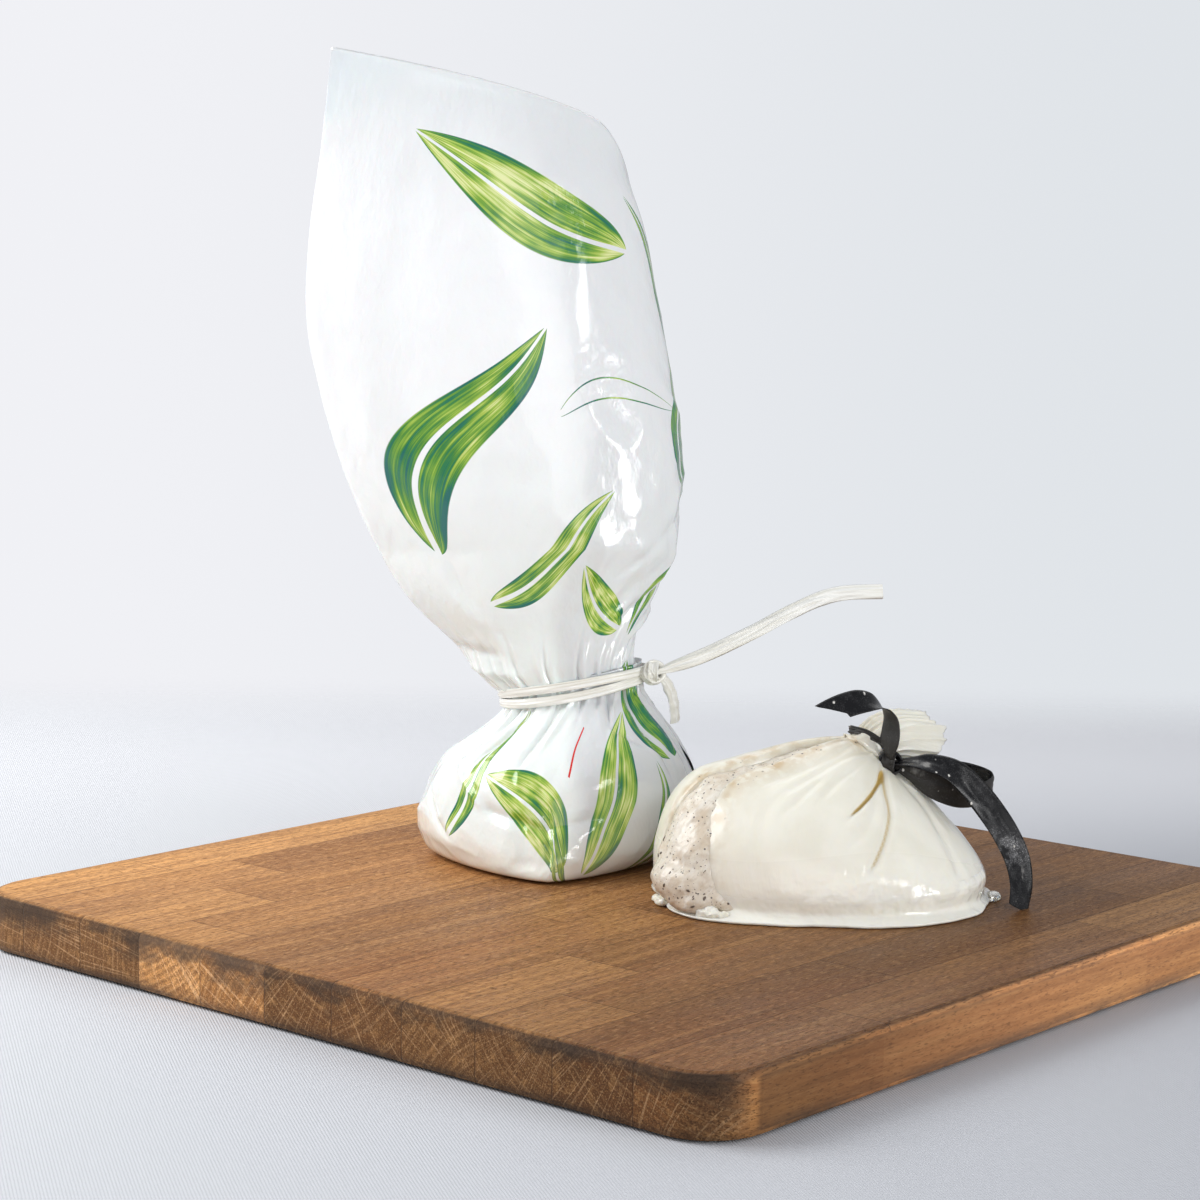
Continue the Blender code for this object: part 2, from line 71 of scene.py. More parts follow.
# %% [markdown]
# ## Camera, floor and light
# A product table is shot with a long lens from a little above the board. The pale cloth runs out
# behind the board by turning clear, so it meets the backdrop without an edge. A large soft lamp
# stands close by on the left, as a window would, so the light falls off to the right. Three weaker
# lamps, low on the right, in front and behind, only brighten what stands upright, and a small one
# high on the right leaves bright spots on what is wet.

# %% Place the camera
VIEW_TURN = math.radians(41.08)
VIEW_TIP = math.radians(7.079)
VIEW_LEAN = math.radians(0.774)
VIEW_RIGHT = (math.cos(VIEW_TURN), math.sin(VIEW_TURN), 0.0)
VIEW_AWAY = (-math.sin(VIEW_TURN), math.cos(VIEW_TURN), 0.0)
CAMERA_PLACE = (0.63462, -0.75717, 0.2450)

camera = bpy.data.objects.new("camera", bpy.data.cameras.new("camera"))
bpy.context.collection.objects.link(camera)
bpy.context.scene.camera = camera
camera.data.lens = 85.0
camera.matrix_world = (Matrix.Translation(CAMERA_PLACE)
                       @ Matrix.Rotation(VIEW_TURN, 4, "Z")
                       @ Matrix.Rotation(math.pi / 2 - VIEW_TIP, 4, "X")
                       @ Matrix.Rotation(VIEW_LEAN, 4, "Z"))
bpy.context.scene.view_settings.view_transform = "Standard"
print("camera at", CAMERA_PLACE)

# %% [markdown]
# A finish is a tree of nodes. It could be wired by hand in the shader editor, but a script says
# more plainly what feeds what. Each small helper adds its nodes to the tree in hand, which is the
# last one that new_finish has started or that a cell has named tree, and gives back an output.

# %% Helpers that wire a finish
def put(kind, sockets=None, **settings):
    """Adds a node, with its settings, and feeds its sockets with values or with outputs."""
    made = tree.nodes.new(kind)
    for name, value in settings.items():
        setattr(made, name, value)
    for name, value in (sockets or {}).items():
        if isinstance(value, bpy.types.NodeSocket):
            tree.links.new(value, made.inputs[name])
        else:
            made.inputs[name].default_value = value
    return made


def own_place():
    """The place of each spot, in metres: a finished piece sits at the origin."""
    return put("ShaderNodeTexCoord").outputs["Object"]


def along_way(place, way):
    """How far each spot lies along a direction."""
    return put("ShaderNodeVectorMath", {0: place, 1: way}, operation="DOT_PRODUCT").outputs["Value"]


def fade(value, low, high, start=0.0, end=1.0):
    """A smooth step of a value from one number to another."""
    sockets = {"Value": value, "From Min": low, "From Max": high, "To Min": start, "To Max": end}
    return put("ShaderNodeMapRange", sockets, interpolation_type="SMOOTHSTEP").outputs[0]


def blend(share, first, second, mode="MIX"):
    """A colour between two colours or outputs."""
    made = put("ShaderNodeMix", data_type="RGBA", blend_type=mode)
    for socket, value in ((made.inputs[0], share), (made.inputs[6], first), (made.inputs[7], second)):
        if isinstance(value, bpy.types.NodeSocket):
            tree.links.new(value, socket)
        else:
            socket.default_value = value if isinstance(value, float) else (*value, 1.0)
    return made.outputs[2]


def relief(height, depth, before=None):
    """A bump of some depth in metres."""
    sockets = {"Height": height, "Distance": depth, "Strength": 1.0}
    if before is not None:
        sockets["Normal"] = before
    return put("ShaderNodeBump", sockets).outputs[0]


def new_finish(name, **values):
    """Starts a material and takes it in hand. The values are constant sockets of its shader."""
    global tree, shader
    finish = bpy.data.materials.new(name)
    finish.use_nodes = True
    tree = finish.node_tree
    shader = tree.nodes["Principled BSDF"]
    for socket, value in values.items():
        shader.inputs[socket.replace("_", " ")].default_value = value
    return finish


def drive(**outputs):
    """Feeds sockets of the shader in hand with the outputs of other nodes."""
    for socket, output in outputs.items():
        tree.links.new(output, shader.inputs[socket.replace("_", " ")])
    print("wired", len(tree.nodes), "nodes")


# %% Lay the floor
FLOOR_REACH = 4.0
FLOOR_GAP = 0.0004          # under the board
FLOOR_END = (0.42, 0.62)    # where the cloth starts and ends to turn clear, behind the board

bpy.ops.mesh.primitive_grid_add(x_subdivisions=40, y_subdivisions=40, size=2 * FLOOR_REACH,
                                location=(0, 0, cad_low[2] - FLOOR_GAP))
floor = bpy.context.object
floor.name = "floor"
floor_finish = new_finish("floor_cloth", Roughness=0.85, Specular_IOR_Level=0.1)
place = own_place()
to_right = along_way(place, VIEW_RIGHT)
to_back = along_way(place, VIEW_AWAY)
# painted shade and light: the cloth is darker to the right, away from the left lamp, and lighter far
# behind the board
cloth = blend(fade(to_right, -0.35, 0.45), (0.635, 0.645, 0.67), (0.385, 0.395, 0.428))
cloth = blend(fade(to_back, 0.08, 0.38, 0.0, 0.75), cloth, (0.74, 0.745, 0.77))
twill_place = put("ShaderNodeMapping", {"Vector": place, "Rotation": (0.0, 0.0, 2.15)})
twill = put("ShaderNodeTexWave", {"Vector": twill_place.outputs[0], "Scale": 330.0,
                                  "Distortion": 1.0}).outputs["Fac"]
drive(Base_Color=cloth, Normal=relief(twill, 0.00010), Alpha=fade(to_back, *FLOOR_END, 1.0, 0.0))
floor.data.materials.append(floor_finish)
floor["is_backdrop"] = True

# %% Light the table
LAMP_AIM = 0.08     # height of the spot that every lamp faces


def soft_lamp(name, across, away, height, size, power):
    """A square lamp that faces the board, placed to the viewer's right, away and up."""
    lamp = bpy.data.objects.new(name, bpy.data.lights.new(name, "AREA"))
    lamp.data.size = size
    lamp.data.energy = power
    bpy.context.collection.objects.link(lamp)
    spot = Matrix.Rotation(VIEW_TURN, 3, "Z") @ Vector((across, away, height))
    aim = Vector((0, 0, LAMP_AIM)) - spot
    lamp.matrix_world = Matrix.LocRotScale(spot, aim.to_track_quat("-Z", "Y"), None)
    print(name, "gives", power, "W")


soft_lamp("lamp_left", -0.88, 0.02, 0.72, 0.7, 10.5)
soft_lamp("lamp_right", 0.95, -0.70, 0.20, 0.40, 5.6)
soft_lamp("lamp_front", 0.05, -1.35, 0.40, 0.9, 3.4)
soft_lamp("lamp_back", 0.1, 1.1, 1.2, 1.2, 4.0)
soft_lamp("lamp_glint", 0.70, -0.95, 0.66, 0.17, 0.9)

world = bpy.data.worlds.new("studio")
bpy.context.scene.world = world
world.use_nodes = True
tree = world.node_tree
seen = put("ShaderNodeLightPath").outputs["Is Camera Ray"]
onward = put("ShaderNodeTexCoord").outputs["Generated"]
to_right = along_way(onward, VIEW_RIGHT)
backdrop = blend(fade(to_right, -0.20, 0.22), (0.875, 0.880, 0.915), (0.745, 0.775, 0.810))
sky = tree.nodes["Background"]
tree.links.new(blend(seen, (0.50, 0.515, 0.54), backdrop), sky.inputs["Color"])

# %% [markdown]
# ## The board
# The board is glued up from square staves of a brown hardwood. Wood is a solid material, so its
# pattern is made in space: each stave has its own log, whose rings are cylinders along Y. The top
# then shows long grain and the front end shows arcs and rays by itself, and nothing has to be
# unwrapped. The solid's shape is right already, so it only gets this finish.

# %% Helpers for sums and patterns
def maths(operation, first, second=0.0):
    """The output of a Math node on one or two values or outputs."""
    return put("ShaderNodeMath", {0: first, 1: second}, operation=operation).outputs[0]


def times(first, second):
    return maths("MULTIPLY", first, second)


def plus(first, second):
    return maths("ADD", first, second)


def minus(first, second):
    return maths("SUBTRACT", first, second)


def larger(first, second):
    return maths("MAXIMUM", first, second)


def size_of(value):
    return maths("ABSOLUTE", value)


def combine(x, y, z=0.0):
    """A place made of three values or outputs."""
    return put("ShaderNodeCombineXYZ", {0: x, 1: y, 2: z}).outputs[0]


def grain(place, stretch, detail=3.0, roughness=0.5):
    """Cloudy noise whose scale differs along X, Y and Z."""
    scaled = put("ShaderNodeMapping", {"Vector": place, "Scale": stretch}).outputs[0]
    return put("ShaderNodeTexNoise", {"Vector": scaled, "Scale": 1.0, "Detail": detail,
                                      "Roughness": roughness}).outputs["Fac"]


# %% Staves of the board
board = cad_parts["board"]
board_low, board_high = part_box("board")
BOARD_TOP = board_high[2]
STAVES = 11
STAVE = (board_high[0] - board_low[0]) / STAVES
STAVE_LENGTH = 0.150
LOG_NEAR, LOG_FAR = 0.030, 0.085    # from a stave to the middle of its log
RING = 0.0024                       # of one year's growth

wood = new_finish("board_wood", Specular_IOR_Level=0.06, Coat_Weight=0.02, Coat_Roughness=0.18)
place = own_place()
x, y, z = put("ShaderNodeSeparateXYZ", {0: place}).outputs
across = maths("DIVIDE", minus(x, board_low[0]), STAVE)
column = maths("FLOOR", across)
shift = put("ShaderNodeTexWhiteNoise", {"W": plus(column, 3.7)},
            noise_dimensions="1D").outputs["Value"]
along = plus(maths("DIVIDE", y, STAVE_LENGTH), times(shift, 6.0))
row = maths("FLOOR", along)
stave = combine(column, row, 0.5)
chance = put("ShaderNodeTexWhiteNoise", {"Vector": stave}, noise_dimensions="3D")
tone, chance_x, chance_z = put("ShaderNodeSeparateColor", {0: chance.outputs["Color"]}).outputs
in_stave = times(minus(maths("FRACT", across), 0.5), STAVE)
print(STAVES, "columns of staves, each", round(STAVE * 1000, 1), "mm wide")

# %% Rings, rays and pores
warp = grain(place, (14.0, 2.2, 14.0), detail=2.0)
pith_turn = times(chance_x, math.tau)
pith_far = plus(LOG_NEAR, times(chance_z, LOG_FAR - LOG_NEAR))
log_x = plus(in_stave, times(pith_far, maths("COSINE", pith_turn)))
log_z = plus(z, times(pith_far, maths("SINE", pith_turn)))
from_pith = maths("SQRT", plus(times(log_x, log_x), times(log_z, log_z)))
from_pith = plus(from_pith, times(warp, 0.010))
rings = maths("SINE", times(from_pith, math.tau / RING))
rings = fade(rings, -1.0, 1.0)
bearing = times(maths("ARCTAN2", log_x, log_z), 92.0)
ray_place = combine(bearing, times(y, 30.0), times(from_pith, 25.0))
rays = put("ShaderNodeTexNoise", {"Vector": ray_place, "Scale": 1.0, "Detail": 1.0})
rays = fade(rays.outputs["Fac"], 0.585, 0.64)
fibre = grain(place, (520.0, 26.0, 520.0), detail=5.0, roughness=0.70)
pores = fade(grain(place, (1900.0, 330.0, 1900.0), detail=2.0, roughness=0.6), 0.56, 0.66)
clouds = grain(place, (24.0, 9.0, 24.0), detail=5.0, roughness=0.65)
redness = fade(grain(place, (9.0, 4.0, 9.0), detail=2.0), 0.54, 0.70)

# %% How near a spot is to the board's rim
CORNER = 0.020
half_x, half_y = board_high[0] - CORNER, board_high[1] - CORNER
out_x = minus(size_of(x), half_x)
out_y = minus(size_of(y), half_y)
round_x = larger(out_x, 0.0)
round_y = larger(out_y, 0.0)
reach = maths("SQRT", plus(times(round_x, round_x), times(round_y, round_y)))
reach = plus(reach, maths("MINIMUM", larger(out_x, out_y), 0.0))
to_side = minus(CORNER, reach)
to_top = minus(BOARD_TOP, z)
on_side = fade(minus(to_top, to_side), -0.0012, 0.0004)
on_end = times(on_side, fade(out_y, 0.004, 0.014))
rim_noise = grain(place, (26.0, 26.0, 60.0), detail=4.0, roughness=0.65)
rim_span = plus(0.0040, times(on_end, times(fade(rim_noise, 0.40, 0.62), 0.0120)))
rim_top = fade(maths("DIVIDE", plus(to_top, to_side), rim_span), 0.15, 1.0, 1.0, 0.0)
# the sides are darker low down, next to the cloth, and round the near corner: painted shade
rim_low = times(on_side, fade(z, 0.0005, 0.0062, 1.0, 0.0))
dark_rim_and_shade = larger(times(rim_top, plus(0.80, times(on_end, 0.20))), rim_low)
at_corner = fade(maths("MINIMUM", round_x, round_y), 0.002, 0.012, 0.0, 0.75)
dark_rim_and_shade = larger(dark_rim_and_shade, times(at_corner, on_side))
dark_rim_and_shade = times(dark_rim_and_shade, fade(rim_noise, 0.30, 0.62, 0.35, 1.0))

# %% Colours of the wood
def run_of_colours(value, *stops):
    """A colour that runs through stops of (position, colour), in their order."""
    made = put("ShaderNodeValToRGB", {"Fac": value})
    elements = made.color_ramp.elements
    for element, (position, tint) in zip(elements, (stops[0], stops[-1])):
        element.position, element.color = position, (*tint, 1.0)
    for position, tint in stops[1:-1]:
        elements.new(position).color = (*tint, 1.0)
    return made.outputs[0]


brown = run_of_colours(plus(times(tone, 0.70), times(clouds, 0.30)), (0.12, (0.225, 0.098, 0.032)),
                       (0.50, (0.370, 0.175, 0.060)), (0.88, (0.540, 0.275, 0.098)))
colour = blend(times(redness, 0.40), brown, (0.300, 0.105, 0.045))
pale_end = size_of(minus(column, 3.5))
pale_end = times(on_end, fade(pale_end, 0.9, 1.1, 1.0, 0.0))
end_dark = times(minus(on_end, pale_end), fade(chance_x, 0.15, 0.45, 0.25, 0.66))
colour = blend(end_dark, colour, (0.100, 0.048, 0.026))
ring_depth = plus(0.14, times(on_end, 0.36))
colour = blend(times(rings, ring_depth), colour, (0.110, 0.050, 0.022))
arcs = put("ShaderNodeTexNoise", {"W": times(from_pith, 860.0), "Scale": 1.0, "Detail": 2.0},
           noise_dimensions="1D").outputs["Fac"]
arcs = times(fade(arcs, 0.56, 0.68), times(on_end, 0.34))
colour = blend(arcs, colour, (0.560, 0.330, 0.160))
colour = blend(times(rays, plus(0.04, times(on_end, 0.50))), colour, (0.660, 0.400, 0.205))
colour = blend(fade(fibre, 0.36, 0.66, 0.0, 0.52), colour, (0.140, 0.060, 0.024))
streaks = grain(place, (210.0, 7.0, 210.0), detail=4.0, roughness=0.6)
colour = blend(fade(streaks, 0.50, 0.66, 0.0, 0.34), colour, (0.150, 0.062, 0.026))
colour = blend(fade(streaks, 0.46, 0.34, 0.0, 0.28), colour, (0.560, 0.290, 0.110))
on_long = minus(on_side, on_end)
flecks = grain(place, (1700.0, 230.0, 1700.0), detail=2.0, roughness=0.6)
clear = minus(1.0, times(on_long, 0.65))
colour = blend(times(clear, fade(flecks, 0.52, 0.68, 0.0, 0.38)), colour, (0.640, 0.370, 0.165))
colour = blend(times(clear, fade(flecks, 0.48, 0.34, 0.0, 0.38)), colour, (0.130, 0.058, 0.026))
colour = blend(times(pores, 0.55), colour, (0.080, 0.036, 0.016))
joint_x = size_of(in_stave)
joint_x = fade(joint_x, STAVE / 2 - 0.00035, STAVE / 2 - 0.00005)
joint_y = size_of(minus(maths("FRACT", along), 0.5))
joint_y = fade(joint_y, 0.4978, 0.4996)
joints = larger(joint_x, times(joint_y, minus(1.0, on_end)))
colour = blend(times(joints, 0.60), colour, (0.060, 0.030, 0.018))
# darker rims, with painted shade low on the sides and at the near corner
colour = blend(times(dark_rim_and_shade, 0.88), colour, (0.055, 0.038, 0.028))
# painted light: the wood is lighter on the left near the left lamp and darker to the right, lighter on
# the long side towards the right and on the top towards the back; the end is a little darker and its
# pale staves are lighter in tone
to_right = along_way(place, VIEW_RIGHT)
painted_light_and_tone = fade(to_right, -0.17, 0.13, 1.42, 0.62)
painted_light_and_tone = times(painted_light_and_tone, minus(1.0, times(on_end, 0.22)))
painted_light_and_tone = plus(painted_light_and_tone, times(pale_end, 0.60))
painted_light_and_tone = plus(painted_light_and_tone, times(on_long, fade(to_right, 0.02, 0.16, 0.18, 2.00)))
to_back = along_way(place, VIEW_AWAY)
painted_light_and_tone = times(painted_light_and_tone, larger(on_side, fade(to_back, -0.20, 0.06, 0.82, 1.12)))
colour = blend(1.0, colour, combine(painted_light_and_tone, painted_light_and_tone, painted_light_and_tone), "MULTIPLY")
ridges = relief(fibre, 0.00012)
ridges = relief(minus(1.0, larger(pores, joints)), 0.00016, ridges)
drive(Base_Color=colour, Roughness=fade(clouds, 0.25, 0.75, 0.36, 0.52), Normal=ridges)
board.data.materials[0] = wood

# %% [markdown]
# ## Laying a grid over a form
# Cheese, film and ribbon are skins: they are easiest to shape as a cloth that is laid over a form.
# A grid primitive is added, each of its points is moved to where the form says, and edges that
# meet are merged. The grid brings a UV map along, so a finish can follow the skin.

# %% Seats and the grid helper
class Seat:
    """A place on the board, with x to its right, y to its back and z up from the board's top."""

    def __init__(self, x, y):
        self.place = np.array([x, y, BOARD_TOP])
        self.turn = np.array(Matrix.Rotation(VIEW_TURN, 3, "Z"))

    def world(self, points):
        return points @ self.turn.T + self.place

    def local(self, points):
        return (points - self.place) @ self.turn


cheese_seat = Seat(0.048, 0.033)
pack_seat = Seat(-0.0611, 0.0170)


def tidy_mesh(merge=1e-6):
    """Merges points that meet and turns every face outwards."""
    bpy.ops.object.mode_set(mode="EDIT")
    bpy.ops.mesh.select_all(action="SELECT")
    bpy.ops.mesh.remove_doubles(threshold=merge)
    bpy.ops.mesh.normals_make_consistent(inside=False)
    bpy.ops.object.mode_set(mode="OBJECT")
    bpy.ops.object.shade_smooth()


def get_points(piece):
    flat = np.empty(len(piece.data.vertices) * 3)
    piece.data.vertices.foreach_get("co", flat)
    return flat.reshape(-1, 3)


def set_points(piece, points):
    piece.data.vertices.foreach_set("co", points.ravel())
    piece.data.update()


def paint(piece, name, values):
    """Keeps one number for each point, for the finish to read."""
    layer = piece.data.attributes.new(name, "FLOAT", "POINT")
    layer.data.foreach_set("value", np.clip(values, 0.0, 1.0).astype(np.float32))


def lay(name, columns, rows, shape, seat, paints=None):
    """Lays a grid over a form. shape takes u and v from 0 to 1 and gives local points."""
    bpy.ops.object.select_all(action="DESELECT")
    bpy.ops.mesh.primitive_grid_add(x_subdivisions=columns, y_subdivisions=rows, size=1)
    piece = bpy.context.object
    piece.name = piece.data.name = name
    grid = get_points(piece)
    u, v = grid[:, 0] + 0.5, grid[:, 1] + 0.5
    set_points(piece, seat.world(shape(u, v)))
    for label, values in (paints(u, v) if paints else {}).items():
        paint(piece, label, values)
    tidy_mesh()
    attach(piece, "root")
    print(name, "has", len(piece.data.polygons), "faces")
    return piece


# %% Bumps, steps and lumps
def hill(value, middle, spread):
    """A smooth bump of height 1."""
    return np.exp(-((value - middle) / spread) ** 2)


def step(value, low, high):
    """A smooth rise from 0 at low to 1 at high."""
    share = np.clip((value - low) / (high - low), 0.0, 1.0)
    return share * share * (3 - 2 * share)


def lumps(points, size, seed, stretch=(1.0, 1.0, 1.0)):
    """Cloudy noise from about -1 to 1 at each point, with lumps of about one size."""
    scaled = points / (size * np.array(stretch)) + seed * 17.3
    return np.array([noise.noise(Vector(point)) for point in scaled])


# %% [markdown]
# ## The torn cheese
# A burrata is a pouch of stretched curd, gathered at a neck. Its form is given by a level, from
# the foot to the neck, and a bearing around it, the same as in the solid. The skin is one grid
# that starts at the front lip of the tear, goes all the way round to the back lip, rolls over it,
# dips under the filling and comes up at the front lip again.

# %% Form of the cheese
HALF_X, HALF_Y = 0.0580, 0.0490
SQUARENESS = 2.3       # of the outline: 2 is an ellipse, more is squarer
CENTRE = np.array([0.0015, -0.0030, 0.0])
FOOT = 0.0022
EQUATOR = 0.0095
NECK = np.array([0.0180, 0.0045, 0.0495])
NECK_RADIUS = 0.0085
NECK_SLOPE = np.array([0.55, 0.05])
NECK_AXIS = np.append(NECK_SLOPE, 1.0)
NECK_AXIS /= np.linalg.norm(NECK_AXIS)
print("cheese", round(2000 * HALF_X), "x", round(2000 * HALF_Y), "mm, its neck at",
      round(1000 * NECK[2], 1), "mm")


def outline(angle, half_x, half_y):
    """Radius of a rounded outline."""
    x = (np.abs(np.cos(angle)) / half_x) ** SQUARENESS
    y = (np.abs(np.sin(angle)) / half_y) ** SQUARENESS
    return (x + y) ** (-1 / SQUARENESS)


def ray(angle):
    return np.stack([np.cos(angle), np.sin(angle), np.zeros_like(angle)], axis=1)


def neck_point(angle, radius, along):
    flat = ray(angle) * np.reshape(radius, (-1, 1))
    flat[:, 2] = -flat[:, :2] @ NECK_SLOPE
    return NECK + flat + NECK_AXIS * np.reshape(along, (-1, 1))


def cheese_point(level, angle):
    """Level 0 is under the foot, 1 is the widest level and 2 the neck."""
    rim = ray(angle) * outline(angle, HALF_X, HALF_Y)[:, None]
    sweep = np.clip(1 - level, 0, 1) * math.pi / 2
    low = CENTRE + rim * (np.clip(np.cos(sweep), 0, 1) ** 0.25)[:, None]
    low[:, 2] = EQUATOR - (EQUATOR - FOOT) * np.sin(sweep) ** 0.8
    fullness = 1.77 - 0.59 * np.cos(angle)
    sweep = np.clip(level - 1, 0, 1) * math.pi / 2
    top = neck_point(angle, NECK_RADIUS, 0.0)
    high = top + (CENTRE + rim - top) * (np.clip(np.cos(sweep), 0, 1) ** (2 / fullness))[:, None]
    saddle = 0.0042 * hill(level, 1.72, 0.20) * (0.5 - 0.5 * np.cos(angle)) ** 2
    high[:, 2] = EQUATOR + (top[:, 2] - EQUATOR) * np.sin(sweep) ** (2 / fullness) - saddle
    return np.where((level <= 1)[:, None], low, high)


def cheese_normal(level, angle):
    """The way out of the cheese at each spot, and how far one radian of bearing reaches."""
    level = np.clip(level, 0.06, 1.96)
    around = (cheese_point(level, angle + 0.01) - cheese_point(level, angle - 0.01)) / 0.02
    upward = cheese_point(level + 0.02, angle) - cheese_point(level - 0.02, angle)
    out = np.cross(around, upward)
    return out / np.linalg.norm(out, axis=1)[:, None], np.linalg.norm(around, axis=1)


# %% Where the lips of the tear run
RADIAN = 57.3      # degrees, near enough


def short_way(degrees):
    """The same turn, from half a turn back to half a turn on."""
    return (degrees + 180) % 360 - 180


def course(level, stops):
    """Bearing in radians at each level, along a line of (level, degrees) stops."""
    levels = [stop[0] for stop in stops]
    degrees = [stop[1] for stop in stops]
    soft = sum(np.interp(level + shift, levels, degrees) for shift in (-0.06, -0.03, 0, 0.03, 0.06))
    return np.radians(soft / 5)


def front_lip(level):
    return course(level, ((0.0, 236), (0.85, 229), (1.15, 221), (1.55, 211), (1.75, 214), (2.0, 212)))


def back_lip(level):
    return course(level, ((0.0, 186), (1.0, 189), (1.3, 197), (1.65, 201), (1.8, 198), (1.9, 188),
                          (1.96, 190), (2.0, 208)))


# %% Creases of the skin
# Each crease is a line of (level, degrees) stops with a width and a depth in millimetres.
CREASES = (
    (((1.80, 294), (1.65, 284), (1.55, 278), (1.45, 271)), 1.1, 1.9),
    (((1.84, 297), (1.68, 295), (1.57, 297), (1.42, 293), (1.16, 284)), 1.3, 1.3),
    (((1.60, 287), (1.42, 283), (1.28, 273)), 1.8, 0.5),
    (((1.84, 322), (1.60, 330), (1.33, 326), (1.12, 325)), 2.2, 0.8),
    (((1.90, 340), (1.60, 350), (1.40, 348)), 2.6, 0.8),
    (((1.90, 245), (1.78, 232), (1.66, 226), (1.58, 224)), 2.2, 0.8),
    (((1.94, 262), (1.84, 246), (1.70, 239), (1.55, 237)), 2.0, 0.8),
    (((1.90, 274), (1.80, 262), (1.68, 257), (1.52, 256)), 1.9, 0.6),
    (((1.66, 247), (1.50, 245), (1.40, 242)), 1.6, 0.6),
    (((1.50, 236), (1.36, 236), (1.22, 241)), 2.0, 0.35),
    (((1.94, 30), (1.70, 22), (1.45, 26)), 2.2, 0.9),
    (((1.92, 70), (1.62, 62), (1.30, 66)), 2.2, 1.0),
    (((1.92, 112), (1.66, 120), (1.40, 116)), 2.2, 1.0),
    (((1.94, 150), (1.80, 156), (1.60, 150)), 2.0, 0.9),
)
print(len(CREASES), "creases")


def roll_height(level):
    """How far the back lip of the tear is rolled out."""
    return np.interp(level, (0.7, 1.0, 1.15, 1.35, 1.5, 1.7, 1.9, 2.0),
                     (0.0, 0.0006, 0.0012, 0.0038, 0.0054, 0.0050, 0.0026, 0.0012))


def crease_depth(level, angle, reach):
    """How deep each spot lies in a crease, in metres."""
    depth = np.zeros_like(level)
    for stops, width, deep in CREASES:
        line = course(level, stops[::-1])
        away = (angle - line + math.pi) % math.tau - math.pi
        top, foot = stops[0][0], stops[-1][0]
        gate = step(level, foot - 0.03, foot + 0.10) * (1 - step(level, top, top + 0.08))
        depth += gate * deep * hill(away * reach * 1000, 0.0, width)
    return depth / 1000


# %% Grid of the skin
SKIN_SHARE = 0.82      # share of the columns on the outside; the rest goes through the tear
NECK_START = 0.93      # share of the rows below the neck
TEAR_DEPTH = 0.0075


def skin_place(u, v):
    """Level, bearing, depth under the surface and share of the neck for each grid point."""
    level = np.clip(v / NECK_START, 0, 1) * 2
    neck = np.clip((v - NECK_START) / (1 - NECK_START), 0, 1)
    front, back = front_lip(level), back_lip(level)
    t = np.clip(u / SKIN_SHARE, 0, 1)
    t = t - 0.55 * np.sin(math.tau * t) / math.tau
    angle = front + (back + math.tau - front) * t
    w = np.clip((u - SKIN_SHARE) / (1 - SKIN_SHARE), 0, 1)
    _, reach = cheese_normal(level, (front + back) / 2)
    wide = np.maximum((front - back) * reach, 1e-5)
    deep = TEAR_DEPTH * np.clip(wide / 0.006, 0, 1)
    back_round = np.minimum(0.0021, 0.3 * wide)
    front_round = np.minimum(0.0009, 0.3 * wide)
    turn_in = np.clip(w / 0.28, 0, 1) * math.pi / 2
    turn_out = np.clip((1 - w) / 0.28, 0, 1) * math.pi / 2
    middle = np.clip((w - 0.38) / 0.24, 0, 1)
    across = np.where(w < 0.5, back_round * np.sin(turn_in), wide - front_round * np.sin(turn_out))
    floor_run = back_round + (wide - back_round - front_round) * middle
    across = np.where((w > 0.38) & (w < 0.62), floor_run, across)
    down = np.where(w < 0.5, back_round * (1 - np.cos(turn_in)), front_round * (1 - np.cos(turn_out)))
    wall = step(w, 0.28, 0.38) * (1 - step(w, 0.62, 0.72))
    down = down + (deep - down) * wall
    inside = w > 0
    angle = np.where(inside, back + math.tau + (front - back) * across / wide, angle)
    return level, angle, np.where(inside, down, 0.0), neck


def skin_shape(u, v):
    level, angle, down, neck = skin_place(u, v)
    out, reach = cheese_normal(level, angle)
    points = cheese_point(level, angle)
    degrees = np.degrees(angle) % 360
    front, back = np.degrees(front_lip(level)), np.degrees(back_lip(level))
    from_back, from_front = short_way(back - degrees), short_way(degrees - front)
    outside = 1 - step(down, 0.0, 0.0025)
    raised = roll_height(level) * hill(from_back, 6, 18)
    raised += 0.0008 * hill(from_front, 4, 8) * step(level, 1.2, 1.5)
    gathers = np.cos(angle * 9 + 1.3 * np.sin(angle * 2)) * 0.5 + np.cos(angle * 17 + 1) * 0.3
    raised += 0.0006 * gathers * step(level, 1.68, 1.98)
    raised += (0.0009 * lumps(points, 0.024, 1) + 0.00012 * lumps(points, 0.008, 2)) * step(
        level, 0.98, 1.22)
    swollen = hill(degrees, 240, 38) * hill(level, 1.92, 0.14)
    raised += 0.0034 * swollen
    runny = step(level, 1.55, 1.05) * hill(degrees, 302, 34)
    raised += 0.0006 * runny * lumps(points, 0.0085, 9, (1.0, 1.0, 1.7))
    raised -= crease_depth(level, angle, reach)
    raised = raised * outside * step(level, 0.25, 0.8)
    points = points + out * (raised - down)[:, None]
    radius = np.interp(neck, (0, 0.35, 0.8, 1.0), (NECK_RADIUS, 0.0066, 0.0066, 0.0))
    cover = hill(degrees, 250, 46)
    radius = radius + cover * 0.0028 * (1 - step(neck, 0.55, 0.95))
    along = neck * 0.0036 + cover * 0.0040 * step(neck, 0.0, 0.45)
    top = neck_point(angle, radius * (1 + 0.05 * np.cos(angle * 9)), along)
    seam = out * raised[:, None] * (1 - step(neck, 0.0, 0.5))[:, None]
    return np.where((neck > 0)[:, None], top + seam, points)


